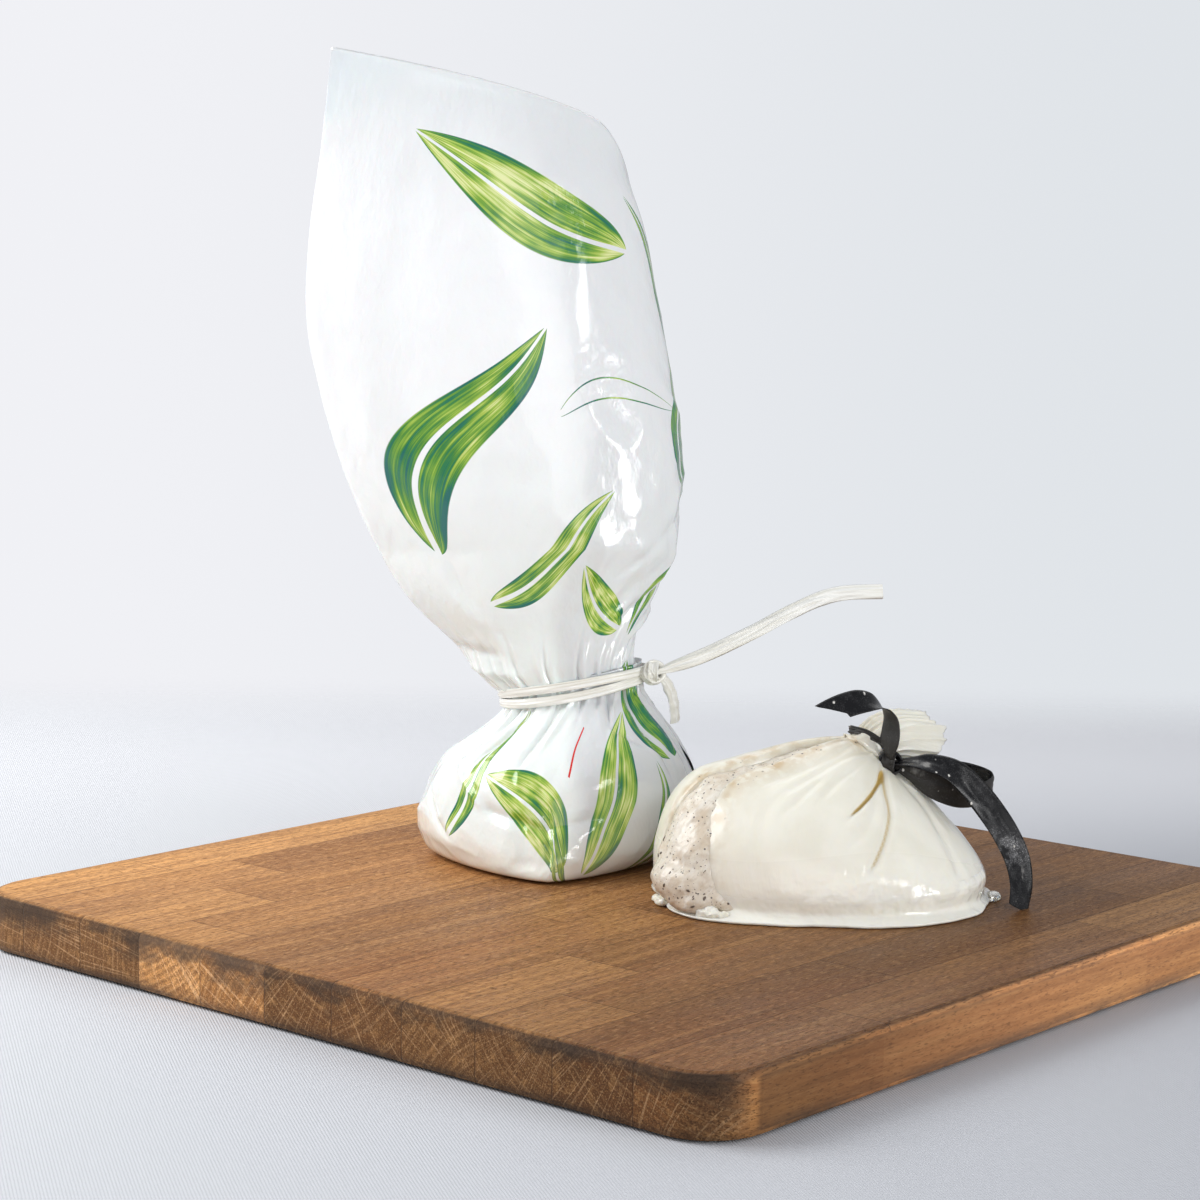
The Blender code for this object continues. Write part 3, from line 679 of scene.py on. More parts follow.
def skin_paints(u, v):
    """Stain on the lips, crease depth for ochre painted shade, painted warm light low on the front,
    wetness.
    """
    level, angle, down, neck = skin_place(u, v)
    _, reach = cheese_normal(level, angle)
    points = cheese_point(level, angle)
    degrees = np.degrees(angle) % 360
    from_front = short_way(degrees - np.degrees(front_lip(level))) * reach / RADIAN * 1000
    from_back = short_way(np.degrees(back_lip(level)) - degrees) * reach / RADIAN * 1000
    patchy = 0.5 + 0.8 * lumps(points, 0.0045, 5)
    smear = hill(from_front, 1.5, 4.6) * step(level, 0.8, 1.4) * (1 - step(level, 1.9, 2.0))
    smear = np.maximum(smear, hill(from_back, 0.6, 2.4) * step(level, 1.15, 1.3))
    haze = 0.22 * hill(from_front, 0.0, 7.0) * step(level, 0.6, 1.2)
    haze += 0.30 * hill(from_front, 2.0, 5.0) * step(level, 1.35, 1.55) * (1 - step(level, 1.8, 1.98))
    stain = np.maximum(smear * patchy, step(down, 0.0003, 0.002) * 0.9)
    stain = np.maximum(stain, haze)
    band_stain = hill(degrees, 225, 30) * hill(level + neck * 0.3, 1.98, 0.09) * (0.3 + patchy)
    # painted warm light low on the front
    warm = hill(degrees, 255, 34) * hill(level, 1.0, 0.20)
    # the crease depth paints ochre shade into the creases
    crease = crease_depth(level, angle, reach) * 1000 / 1.9
    wet = step(level, 1.5, 1.0) * hill(degrees, 300, 40) + 0.45 * (1 - step(level, 1.03, 1.30))
    return {"stain": np.maximum(stain, 0.8 * band_stain), "crease": crease, "warm": warm, "wet": wet}


skin = lay("curd_skin", 330, 170, skin_shape, cheese_seat, skin_paints)
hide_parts("pouch")

# %% [markdown]
# ## The ruffled end
# Above the ribbon the pouch ends in a gathered ruffle that has tipped over to the right. It is a
# tube along a bent line, with pleats that deepen towards its mouth and turn back inside.

# %% Ruffle
def bent_line(stops, share):
    """Points and widths along a smooth curve through stops, at shares from 0 to 1."""
    stops = np.array(stops, dtype=float)
    padded = np.vstack([2 * stops[0] - stops[1], stops, 2 * stops[-1] - stops[-2]])
    position = np.clip(share, 0, 1) * (len(stops) - 1)
    index = np.minimum(position.astype(int), len(stops) - 2)
    t = (position - index)[:, None]
    a, b, c, d = (padded[index + k] for k in range(4))
    return (2 * b + (c - a) * t + (2 * a - 5 * b + 4 * c - d) * t ** 2
            + (3 * b - a - 3 * c + d) * t ** 3) / 2


def frames_along(line, first):
    """Two directions across a line at each of its stations, carried along without twist."""
    onward = np.gradient(line, axis=0)
    onward /= np.linalg.norm(onward, axis=1)[:, None]
    sides = np.empty_like(line)
    side = np.array(first, dtype=float)
    for i, way in enumerate(onward):
        side = side - side.dot(way) * way
        side /= np.linalg.norm(side)
        sides[i] = side
    return sides, np.cross(onward, sides)


RUFFLE = ((0.0191, 0.0046, 0.0506, 0.0072), (0.0210, 0.0050, 0.0530, 0.0082),
          (0.0234, 0.0062, 0.0541, 0.0090), (0.0270, 0.0090, 0.0539, 0.0097),
          (0.0315, 0.0126, 0.0527, 0.0103), (0.0360, 0.0162, 0.0513, 0.0107),
          (0.0400, 0.0196, 0.0498, 0.0107))
RUFFLE_STATIONS = 240


def ruffle_shape(u, v):
    line = bent_line(RUFFLE, np.linspace(0, 1, RUFFLE_STATIONS))
    sides, backs = frames_along(line[:, :3], (1.0, 0.0, -0.55))
    outer = 0.72
    share = np.where(v < outer, v / outer, 1 - (v - outer) / (1 - outer) * 0.55)
    inner = step(v, outer, outer + 0.05)
    angle = u * math.tau
    ring = np.column_stack([np.cos(angle), np.sin(angle), 0 * angle])
    ragged = 0.05 * np.sin(3 * angle + 1) + 0.05 * lumps(ring, 0.22, 31) + 0.03 * lumps(ring, 0.09, 32)
    share = np.clip(share * (0.93 + ragged * share), 0, 1)
    station = np.clip(share * (RUFFLE_STATIONS - 1), 0, RUFFLE_STATIONS - 1)
    index = station.astype(int)
    centre, radius = line[index, :3], line[index, 3]
    folded = np.cos(11 * angle + 2.2 * np.sin(2 * angle) + 3 * share)
    pleats = 0.07 * np.cos(7 * angle + 1) + 0.07 * np.cos(4 * angle)
    pleats += (0.075 + 0.05 * lumps(ring, 0.5, 33)) * (1 - 2 * np.abs(folded) ** 0.7) * 1.2
    pleats += 0.04 * lumps(ring + share[:, None] * 0.4, 0.30, 34)
    radius = radius * (1 + (0.35 + 0.40 * share) * pleats)
    radius = radius * (1 - 0.22 * inner - 0.75 * step(v, 0.90, 1.0))
    drift = (station - index)[:, None] * np.gradient(line[:, :3], axis=0)[index]
    return (centre + drift + sides[index] * (radius * np.cos(angle))[:, None]
            + backs[index] * (radius * np.sin(angle))[:, None])


def ruffle_paints(u, v):
    angle = u * math.tau
    folds = np.cos(16 * angle + 2.2 * np.sin(2 * angle) + 3 * v)
    # crease paints shade into the folds and inside the mouth
    return {"crease": step(-folds, 0.45, 1.0) * 0.35 + step(v, 0.72, 0.78) * 0.3,
            "stain": 0.25 * step(v, 0.0, 0.12) * (1 - step(v, 0.15, 0.35)), "warm": 0 * v,
            "wet": 0.2 + 0 * v}


ruffle = lay("curd_ruffle", 260, 110, ruffle_shape, cheese_seat, ruffle_paints)
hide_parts("pouch")

# %% [markdown]
# Fresh curd lets light in a little way and is wet with cream, so its finish has some subsurface
# light, a low roughness and a thin coat. The painted numbers add the tan stain that the filling
# leaves on the lips, ochre painted shade in the deep creases, painted warm light low on the front,
# and the gloss and the ripples where cream has run.

# %% Finish of the curd
def painted_as(name):
    """A number that is kept with each point of the piece."""
    return put("ShaderNodeAttribute", attribute_name=name).outputs["Fac"]


def scattered(place, scale, edge, rarity, channel=0):
    """Round dots, one to a cell, in only the cells whose chance is past the rarity."""
    cells = put("ShaderNodeTexVoronoi", {"Vector": place, "Scale": scale})
    chance = put("ShaderNodeSeparateColor", {0: cells.outputs["Color"]}).outputs[channel]
    return times(fade(cells.outputs["Distance"], *edge, 1.0, 0.0), fade(chance, *rarity))


curd = new_finish("curd_skin", Subsurface_Weight=0.22, Subsurface_Scale=0.006,
                  Subsurface_Radius=(1.0, 0.75, 0.45), Coat_Weight=0.45, Coat_Roughness=0.10,
                  IOR=1.40)
place = own_place()
painted = {label: painted_as(label) for label in ("stain", "crease", "warm", "wet")}
cloud = grain(place, (60.0, 60.0, 60.0), detail=4.0)
colour = blend(fade(cloud, 0.35, 0.65), (0.725, 0.700, 0.600), (0.775, 0.752, 0.662))
# painted warm light low on the front and at the foot of the cheese
colour = blend(times(painted["warm"], 0.45), colour, (0.880, 0.790, 0.660))
colour = blend(times(painted["wet"], 0.45), colour, (0.880, 0.865, 0.800))
# ochre painted shade in the deep creases
colour = blend(fade(painted["crease"], 0.36, 0.86, 0.0, 0.95), colour, (0.520, 0.340, 0.070))
blotch = grain(place, (330.0, 330.0, 330.0), detail=3.0)
soil = times(painted["stain"], fade(blotch, 0.34, 0.56, 0.35, 1.0))
colour = blend(soil, colour, (0.520, 0.390, 0.230))
specks = scattered(place, 620.0, (0.20, 0.32), (0.80, 0.84))
specks = times(specks, fade(painted["stain"], 0.25, 0.7))
colour = blend(specks, colour, (0.060, 0.050, 0.048))
strands = grain(put("ShaderNodeUVMap").outputs["UV"], (95.0, 7.0, 1.0), detail=3.0)
ripple = grain(place, (140.0, 140.0, 140.0), detail=2.0, roughness=0.45)
wet_ripple = times(ripple, plus(maths("POWER", painted["wet"], 2.0), 0.20))
drive(Base_Color=colour, Roughness=fade(painted["wet"], 0.0, 0.9, 0.34, 0.09),
      Normal=relief(strands, 0.00018, relief(wet_ripple, 0.0011)))
for piece in (skin, ruffle):
    piece.data.materials.append(curd)

# %% [markdown]
# ## The filling
# Stracciatella is shredded curd in thick cream, here with ground truffle. It fills the tear and has
# slumped out at its foot. Soft lumps like this are modelled as overlapping bodies that a Remesh
# modifier melts into one skin, which is then roughened point by point.

# %% Bodies of the filling
OVER_SHARE = 0.6                   # of the columns on the open side of the tongue
TONGUE_LOW, TONGUE_RISE = 0.35, 1.58    # levels on the cheese


def filling_shape(u, v):
    """A tongue of filling that lies in the tear from lip to lip and closes underneath."""
    level = TONGUE_LOW + TONGUE_RISE * v
    front, back = front_lip(level), back_lip(level)
    over = u < OVER_SHARE
    s = np.where(over, u / OVER_SHARE, (1 - u) / (1 - OVER_SHARE))
    _, reach = cheese_normal(level, (front + back) / 2)
    wide = np.maximum((front - back) * reach, 1e-4)
    tuck = np.minimum(0.0035, wide * 0.5) / reach
    angle = back - tuck + (front - back + 2 * tuck) * s
    out, _ = cheese_normal(level, angle)
    crown = 4 * s * (1 - s)
    swell = np.interp(level, (TONGUE_LOW, 1.0, 1.12, 1.25, 1.45, 1.7, 1.95),
                      (0.0032, 0.0044, 0.0044, 0.0034, 0.0020, 0.0010, 0.0004))
    lean = hill(s, 0.60, 0.42) * crown ** 0.35
    to_roll = np.maximum(roll_height(level) - 0.0022, 0) * (1 - step(s, 0.12, 0.95))
    edge = 1 - np.clip(crown * np.where(s > 0.5, 3.0, 1.8), 0, 1) ** 0.5
    height = np.where(over, swell * lean + to_roll - 0.0040 * edge,
                      to_roll * (1 - step(s, 0, 0.2)) - 0.0075 + 0.0035 * edge)
    ends = step(v, 0.0, 0.03) * (1 - step(v, 0.96, 1.0))
    middle = cheese_point(level, (front + back) / 2)
    upper = cheese_point(level, angle) + out * height[:, None]
    t = np.clip((1 - level) / (1 - TONGUE_LOW), 0, 1)
    flat = outline(angle, HALF_X, HALF_Y) + height - 0.0045 * t ** 3
    lower = CENTRE + ray(angle) * flat[:, None]
    lower[:, 2] = EQUATOR - (EQUATOR - 0.0008) * t
    points = np.where((level < 1)[:, None], lower, upper)
    return middle + (points - middle) * ends[:, None]


def lump_body(name, place, radii, turn=0.0):
    """A rounded body at a place on the cheese, ready to be melted into its neighbours."""
    bpy.ops.object.select_all(action="DESELECT")
    bpy.ops.mesh.primitive_uv_sphere_add(segments=32, ring_count=20, radius=1.0)
    body = bpy.context.object
    body.name = name
    points = get_points(body) * np.array(radii)
    points = points @ np.array(Matrix.Rotation(turn, 3, "Z")).T + np.array(place)
    set_points(body, cheese_seat.world(points))
    return body


def lump_bodies(name, rows):
    """Numbered bodies from rows of place, radii and turn."""
    return [lump_body(f"{name}_{index}", *row) for index, row in enumerate(rows)]


def settle(piece, points, gap):
    """Moves the points of a piece on the cheese, none lower than a gap over the board."""
    points[:, 2] = np.maximum(points[:, 2], gap)
    set_points(piece, cheese_seat.world(points))


def melt(bodies, name, voxel, smooth):
    """Joins bodies and gives them one common skin."""
    bpy.ops.object.select_all(action="DESELECT")
    for body in bodies:
        body.select_set(True)
    bpy.context.view_layer.objects.active = bodies[0]
    bpy.ops.object.join()
    whole = bpy.context.object
    whole.name = whole.data.name = name
    bpy.ops.object.transform_apply(location=True, rotation=True, scale=True)
    remesh = whole.modifiers.new("melt", "REMESH")
    remesh.mode = "VOXEL"
    remesh.voxel_size = voxel
    soften = whole.modifiers.new("soften", "SMOOTH")
    soften.iterations = smooth
    soften.factor = 0.6
    for modifier in ("melt", "soften"):
        bpy.ops.object.modifier_apply(modifier=modifier)
    tidy_mesh()
    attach(whole, "root")
    print(name, "has", len(whole.data.polygons), "faces")
    return whole


SLUMP_TURN = math.radians(205)
tongue = lay("filling_tongue", 40, 90, filling_shape, cheese_seat)
slumps = [tongue] + lump_bodies("slump", (
    ((-0.0400, -0.0320, 0.0056), (0.0130, 0.0125, 0.0062), SLUMP_TURN),
    ((-0.0455, -0.0285, 0.0110), (0.0125, 0.0150, 0.0090), SLUMP_TURN),
    ((-0.0330, -0.0395, 0.0048), (0.0080, 0.0048, 0.0038), -0.3)))
filling = melt(slumps, "truffle_filling", 0.00062, 28)
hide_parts("filling")

# %% Roughen the filling
points = cheese_seat.local(get_points(filling))
normals = np.empty(len(points) * 3)
filling.data.vertices.foreach_get("normal", normals)
normals = normals.reshape(-1, 3)
rough = 0.0007 * lumps(points, 0.0095, 3) + 0.00028 * lumps(points, 0.0036, 4)
rough += 0.00012 * lumps(points, 0.0016, 6)
strands = points @ np.array([[0.80, 0.0, -0.6], [0.2, 0.95, 0.2], [0.55, -0.25, 0.80]]).T
rough += 0.00035 * lumps(strands, 0.0024, 8, stretch=(1.0, 1.0, 6.0))
moved = points + (normals @ cheese_seat.turn) * rough[:, None]
settle(filling, moved, 0.0006)
print("roughened by up to", round(float(np.abs(rough).max()) * 1000, 2), "mm")

# %% [markdown]
# Ground truffle shows as dark flecks. Most are only colour, but some flakes stick out of the
# cream, so a few hundred tiny bent flakes are scattered over the filling as one joined mesh.

# %% Truffle flakes
def scatter_flakes(name, ground, count, low, high, seed, keep):
    """Small bent flakes half sunk in a surface, all in one mesh."""
    chance = random.Random(seed)
    faces = [face for face in ground.data.polygons
             if keep(cheese_seat.local(np.array(face.center)), face.normal)]
    corners, sides = [], []
    for _ in range(count):
        face = chance.choice(faces)
        size = chance.uniform(low, high) * (2.2 if chance.random() < 0.12 else 1.0)
        tilt = face.normal.to_track_quat("Z", "Y").to_matrix()
        tilt = tilt @ Matrix.Rotation(chance.uniform(0, math.tau), 3, "Z")
        tilt = tilt @ Matrix.Rotation(chance.uniform(-0.5, 0.5), 3, "X")
        start = len(corners)
        for ring, (radius, height) in enumerate(((0.0, 0.30), (0.62, 0.24), (1.0, 0.0),
                                                 (0.55, -0.35))):
            for side in range(6 if ring else 1):
                angle = math.tau * side / 6 + ring * 0.3
                wobble = chance.uniform(0.75, 1.2)
                spot = Vector((math.cos(angle) * radius * 1.35 * wobble,
                               math.sin(angle) * radius * 0.75 * wobble, height)) * size
                corners.append(face.center + tilt @ spot)
        for side in range(6):
            after = (side + 1) % 6
            sides.append((start, start + 1 + side, start + 1 + after))
            for ring in range(2):
                lower, upper = start + 1 + 6 * ring, start + 7 + 6 * ring
                sides.append((lower + side, upper + side, upper + after, lower + after))
        sides.append([start + 13 + side for side in range(5, -1, -1)])
    mesh = bpy.data.meshes.new(name)
    mesh.from_pydata(corners, [], sides)
    flakes = bpy.data.objects.new(name, mesh)
    bpy.context.collection.objects.link(flakes)
    bpy.ops.object.select_all(action="DESELECT")
    flakes.select_set(True)
    bpy.context.view_layer.objects.active = flakes
    tidy_mesh(1e-8)
    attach(flakes, "root")
    print(name, "has", count, "flakes")
    return flakes


def shows(place, normal):
    """True where the filling is open to the air."""
    return place[0] < -0.004 and place[2] > 0.003 and normal[2] > -0.35


flakes = scatter_flakes("truffle_flakes", filling, 260, 0.00014, 0.00036, 11, shows)

# %% Finish of the filling
truffle = new_finish("truffle_cream", Subsurface_Weight=0.15, Subsurface_Scale=0.004,
                     Subsurface_Radius=(1.0, 0.8, 0.5), Coat_Weight=0.20, Coat_Roughness=0.18,
                     IOR=1.40)
place = own_place()
cloud = grain(place, (120.0, 120.0, 120.0), detail=5.0, roughness=0.6)
fine = grain(place, (520.0, 520.0, 520.0), detail=3.0)
TEAR_RUN = Vector((-0.70, -0.37, -0.61)).normalized()
TEAR_SIDE = TEAR_RUN.cross(Vector((0, 0, 1))).normalized()
lines = []
for way, scale in ((TEAR_RUN, 45.0), (TEAR_SIDE, 480.0), (TEAR_RUN.cross(TEAR_SIDE), 480.0)):
    world_way = Vector(cheese_seat.turn @ np.array(way)) * scale
    lines.append(along_way(place, world_way))
line_place = combine(*lines)
streaks = grain(line_place, (1.0, 1.0, 1.0), detail=4.0, roughness=0.6)
low = put("ShaderNodeSeparateXYZ", {0: place}).outputs[2]
low = fade(low, BOARD_TOP + 0.008, BOARD_TOP + 0.024, 1.0, 0.0)
colour = blend(fade(cloud, 0.34, 0.58), (0.580, 0.490, 0.380), (0.700, 0.650, 0.560))
colour = blend(times(low, 0.35), colour, (0.480, 0.375, 0.275))
colour = blend(fade(streaks, 0.50, 0.66, 0.0, 0.45), colour, (0.760, 0.735, 0.680))
colour = blend(fade(streaks, 0.44, 0.32, 0.0, 0.40), colour, (0.540, 0.430, 0.310))
colour = blend(fade(fine, 0.54, 0.72, 0.0, 0.45), colour, (0.450, 0.370, 0.290))
for scale, reach, rarity, tint in ((1150.0, 0.24, 0.80, (0.120, 0.100, 0.090)),
                                   (560.0, 0.22, 0.80, (0.060, 0.056, 0.062)),
                                   (300.0, 0.13, 0.90, (0.040, 0.040, 0.046))):
    specks = scattered(place, scale, (reach * 0.7, reach), (rarity, rarity + 0.02), channel=1)
    colour = blend(times(specks, 0.9), colour, tint)
drive(Base_Color=colour, Roughness=fade(cloud, 0.3, 0.7, 0.42, 0.24),
      Normal=relief(streaks, 0.00030, relief(fine, 0.00022)))
filling.data.materials.append(truffle)

flake_finish = new_finish("truffle_flake", Roughness=0.45, Coat_Weight=0.3)
mottled = fade(grain(own_place(), (700.0, 700.0, 700.0)), 0.4, 0.6)
drive(Base_Color=blend(mottled, (0.030, 0.026, 0.028), (0.120, 0.085, 0.060)))
flakes.data.materials.append(flake_finish)

# %% [markdown]
# ## The pool of cream
# Cream creeps outwards until its skin holds it, which gives a thin pool with a rounded rim, and it
# climbs the foot of the cheese in a soft curve. The grid runs from under the cheese out to the rim
# and back in over the top.

# %% Pool
# offset from the foot of the cheese in metres, share of the way to the rim, height in metres
POOL_PROFILE = ((-0.00160, 0.00, 0.0130), (-0.00030, 0.00, 0.0108), (-0.00004, 0.00, 0.0092),
                (-0.00010, 0.00, 0.0078), (-0.00055, 0.00, 0.0060), (-0.00100, 0.03, 0.0044),
                (-0.00090, 0.18, 0.0030), (-0.00030, 0.46, 0.0020), (0.00000, 0.78, 0.0014),
                (0.00000, 0.96, 0.0012), (0.00000, 1.00, 0.0008), (-0.00020, 0.95, 0.0003))
# how far the pool reaches out, by bearing, in degrees and millimetres
POOL_REACH = ((0, 2.4), (60, 2.0), (120, 2.2), (172, 1.0), (194, -1.2), (204, 0.6), (214, 4.8),
              (228, 4.6), (246, 1.8), (270, 1.5), (292, 2.8), (325, 2.8), (345, 1.6), (360, 2.4))


POOL_START, POOL_END = 0.08, 0.88     # rows of the grid between which the profile runs


def pool_reach(angle):
    turns = [stop[0] for stop in POOL_REACH]
    far = np.array([stop[1] for stop in POOL_REACH]) / 1000
    degrees = np.degrees(angle)
    reach = sum(np.interp((degrees + shift) % 360, turns, far) for shift in (-6, -3, 0, 3, 6)) / 5
    reach += 0.0005 * np.sin(5 * angle + 0.6) + 0.0003 * np.sin(9 * angle)
    return reach + 0.00025 * np.sin(14 * angle + 2) + 0.00015 * np.sin(23 * angle)


def pool_shape(u, v):
    angle = u * math.tau
    body = outline(angle, HALF_X, HALF_Y)
    offset, share, height = bent_line(POOL_PROFILE, (v - POOL_START) / (POOL_END - POOL_START)).T
    far = body + offset + share * pool_reach(angle)
    wave = np.array([noise.noise(Vector((math.cos(a) * 3.5, math.sin(a) * 3.5, h * 300)))
                     for a, h in zip(angle, height)])
    far += 0.0004 * wave * hill(height, 0.0035, 0.002)
    far = np.where(v < POOL_START, far * v / POOL_START, far)
    far = np.where(v > POOL_END, far * (1 - v) / (1 - POOL_END), far)
    return CENTRE + ray(angle) * far[:, None] + np.array([0, 0, 1]) * height[:, None]


def pool_paints(u, v):
    # painted warm light on the pool at the front foot of the cheese
    warm = hill(u * 360, 255, 34) * (1 - step(v, 0.35, 0.55)) * 0.9
    return {"stain": 0 * u, "crease": 0 * u, "warm": warm, "wet": 0 * u + 1.0}


pool = lay("cream_pool", 320, 80, pool_shape, cheese_seat, pool_paints)
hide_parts("cream_puddle")
pool.data.materials.append(curd)

# %% [markdown]
# Small things make a cut cheese look fresh: a few shreds of white curd that slid out with the
# filling, and a drop of clear whey that has run out on the right. The shreds are melted together
# from small bodies, the same way as the filling.

# %% Shreds of curd and a drop of whey
DRY_GAP = 0.0004     # over the board
shreds = lump_bodies("shred", (
    ((-0.0545, -0.0235, 0.0018), (0.0022, 0.0032, 0.0018), 0.4),
    ((-0.0560, -0.0180, 0.0014), (0.0018, 0.0026, 0.0013), 0.2),
    ((-0.0410, -0.0440, 0.0022), (0.0030, 0.0013, 0.0016), -0.5),
    ((-0.0375, -0.0458, 0.0026), (0.0032, 0.0012, 0.0014), -0.2),
    ((-0.0340, -0.0462, 0.0022), (0.0026, 0.0011, 0.0016), 0.2),
    ((-0.0385, -0.0440, 0.0040), (0.0028, 0.0012, 0.0010), -0.4)))
curd_bits = melt(shreds, "curd_bits", 0.00035, 5)
points = cheese_seat.local(get_points(curd_bits))
points = points + 0.0005 * np.column_stack([lumps(points, 0.0016, 50 + k) for k in range(3)])
settle(curd_bits, points, DRY_GAP)
curd_bits.data.materials.append(curd)
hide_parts("filling")

whey = lump_body("whey_drop", (0.0622, -0.0060, 0.0004), (0.0030, 0.0062, 0.0022), -0.25)
settle(whey, cheese_seat.local(get_points(whey)), DRY_GAP)
tidy_mesh()
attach(whey, "root")
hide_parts("cream_puddle")
print("whey drop has", len(whey.data.polygons), "faces")
clear = new_finish("whey", Roughness=0.03, Transmission_Weight=0.92, IOR=1.34,
                   Base_Color=(0.93, 0.92, 0.86, 1.0))
whey.data.materials.append(clear)

# %% [markdown]
# ## The black ribbon
# Satin ribbon keeps its width and bends only over its flat side, so each stretch is a strip along a
# curve with a roll angle. The strip has two faces and a little thickness, is slightly cupped, and
# its grid keeps the length and width in metres, so the weave has its true size everywhere.

# %% Strips
STRIP_COLUMNS = 28


def strip(name, stops, reference, width, thickness, seat, *, sway, seed, stations=160, taper=None,
          cup=0.0, slant=0.0, turned=False):
    """A flat strip along stops of x, y, z and roll. At roll 0 its width lies along the reference."""
    line = bent_line(stops, np.linspace(0, 1, stations))
    onward = np.gradient(line[:, :3], axis=0)
    length = np.linalg.norm(onward, axis=1).sum()
    onward /= np.linalg.norm(onward, axis=1)[:, None]
    flat = np.array(reference) - (onward @ np.array(reference))[:, None] * onward
    flat /= np.linalg.norm(flat, axis=1)[:, None]
    side = np.cross(onward, flat)
    roll = line[:, 3][:, None]
    wide = flat * np.cos(roll) + side * np.sin(roll)
    thick = np.cross(wide, onward)

    def shape(u, v):
        a = np.where(u < 0.5, 1 - 4 * u, 4 * u - 3)
        face = np.where(u < 0.5, 1.0, -1.0)
        share = np.clip(v + slant * (a - 1) / 2 * step(v, 0.80, 1.0) / length, 0, 1)
        position = share * (stations - 1)
        index = np.minimum(position.astype(int), stations - 2)
        t = (position - index)[:, None]

        def at(rows):
            return rows[index] * (1 - t) + rows[index + 1] * t

        half = width / 2 * (taper(v) if taper else 1.0)
        bulge = thickness / 2 * np.clip(1 - np.abs(a) ** 8, 0, 1) ** 0.5
        waves = sway * np.array([noise.noise(Vector((p * 2.2, q * 9.0, seed * 3.3)))
                                 for p, q in zip(a, v)])
        offset = face * bulge + cup * a * a + waves
        return at(line[:, :3]) + at(wide) * (half * a)[:, None] + at(thick) * offset[:, None]

    def paints(u, v):
        return {"inner": np.where((u < 0.5) == turned, 1.0, 0.0)}

    piece = lay(name, STRIP_COLUMNS, stations, shape, seat, paints)
    layer = piece.data.uv_layers.active.data
    spread = np.empty(len(layer) * 2)
    layer.foreach_get("uv", spread)
    spread = spread.reshape(-1, 2) * (2 * width, length)
    layer.foreach_set("uv", spread.ravel())
    print(name, "is", round(length * 1000), "mm long")
    return piece


def pinched(low, reach, both=False):
    """A taper that leaves its knot narrow and widens over a share of its length."""
    def taper(v):
        near = np.minimum(v, 1 - v) if both else v
        return low + (1 - low) * step(near, 0.0, reach)
    return taper


RIBBON = 0.0098
SATIN = 0.00042
RISE = ((0.0246, -0.0050, 0.0480, 0.50), (0.0238, -0.0080, 0.0520, 0.60),
        (0.0240, -0.0088, 0.0558, 0.65), (0.0244, -0.0082, 0.0600, 0.60),
        (0.0240, -0.0070, 0.0640, 0.45), (0.0218, -0.0064, 0.0674, 0.10),
        (0.0180, -0.0070, 0.0694, -0.50), (0.0135, -0.0082, 0.0696, -0.85),
        (0.0090, -0.0094, 0.0686, -0.95), (0.0045, -0.0104, 0.0668, -0.95),
        (0.0003, -0.0112, 0.0646, -0.95))
FALL = ((0.0255, -0.0060, 0.0480, 0.30), (0.0330, -0.0090, 0.0488, 0.35),
        (0.0400, -0.0100, 0.0483, 0.60), (0.0475, -0.0105, 0.0455, 0.95),
        (0.0540, -0.0105, 0.0395, 1.20), (0.0602, -0.0110, 0.0320, 1.30),
        (0.0655, -0.0125, 0.0240, 1.30), (0.0690, -0.0148, 0.0160, 1.20),
        (0.0700, -0.0182, 0.0080, 1.10), (0.0686, -0.0228, 0.0007, 1.00))
LOOP = ((0.0252, -0.0050, 0.0478, 0.0), (0.0340, -0.0094, 0.0436, 0.0),
        (0.0430, -0.0068, 0.0390, 0.0), (0.0520, -0.0010, 0.0356, 0.0),
        (0.0590, 0.0040, 0.0352, 0.0), (0.0634, 0.0105, 0.0364, 0.0),
        (0.0624, 0.0165, 0.0380, 0.0), (0.0552, 0.0190, 0.0396, 0.0),
        (0.0450, 0.0160, 0.0416, 0.0), (0.0350, 0.0075, 0.0444, 0.0),
        (0.0268, -0.0030, 0.0482, 0.0))
AWAY = (0.0, 1.0, 0.0)

ribbon = [
    strip("ribbon_rise", RISE, AWAY, RIBBON, SATIN, cheese_seat, taper=pinched(0.42, 0.24),
          cup=0.0004, sway=0.0002, slant=0.0100, seed=2),
    strip("ribbon_fall", FALL, AWAY, RIBBON, SATIN, cheese_seat, taper=pinched(0.42, 0.20),
          cup=-0.0005, sway=0.0004, seed=3, turned=True),
    strip("ribbon_loop", LOOP, (0.1, -0.35, 1.0), RIBBON, SATIN, cheese_seat, stations=220,
          taper=pinched(0.40, 0.20, both=True), cup=0.0006, sway=0.0007, seed=4),
]

# %% [markdown]
# The band that goes round the neck is bunched into a cord of folds, and the knot is two turns of
# the same bunched ribbon drawn tight over each other.

# %% Band and knot
HOOP_STOPS = 25


def hoop_stops(radius, along, tilt):
    """Stops once round the neck. The band rides up over the bulge of the skin."""
    turns = np.linspace(0, math.tau, HOOP_STOPS)
    lift = np.interp(np.degrees(turns), (0, 90, 180, 215, 240, 270, 300, 325, 360),
                     (0.0, 0.0020, 0.0016, 0.0034, 0.0044, 0.0046, 0.0034, 0.0010, 0.0))
    lift = np.convolve(np.pad(lift, 2, "wrap"), np.ones(5) / 5, "valid")
    middle = neck_point(turns, radius + 0.25 * lift, along + lift)
    return np.column_stack([middle, np.full(HOOP_STOPS, tilt)])


def band_width(v):
    return 0.85 + 0.25 * np.sin(v * 31.0) * np.sin(v * 11.0)


ribbon.append(strip("ribbon_band", hoop_stops(0.0076, 0.0019, 0.0), NECK_AXIS, 0.0026, 0.0011,
                    cheese_seat, taper=band_width, sway=0.0004, seed=5))
ribbon.append(strip("ribbon_band_fold", hoop_stops(0.0080, 0.0027, 0.5), NECK_AXIS, 0.0020,
                    0.0007, cheese_seat, taper=band_width, sway=0.0004, seed=6))


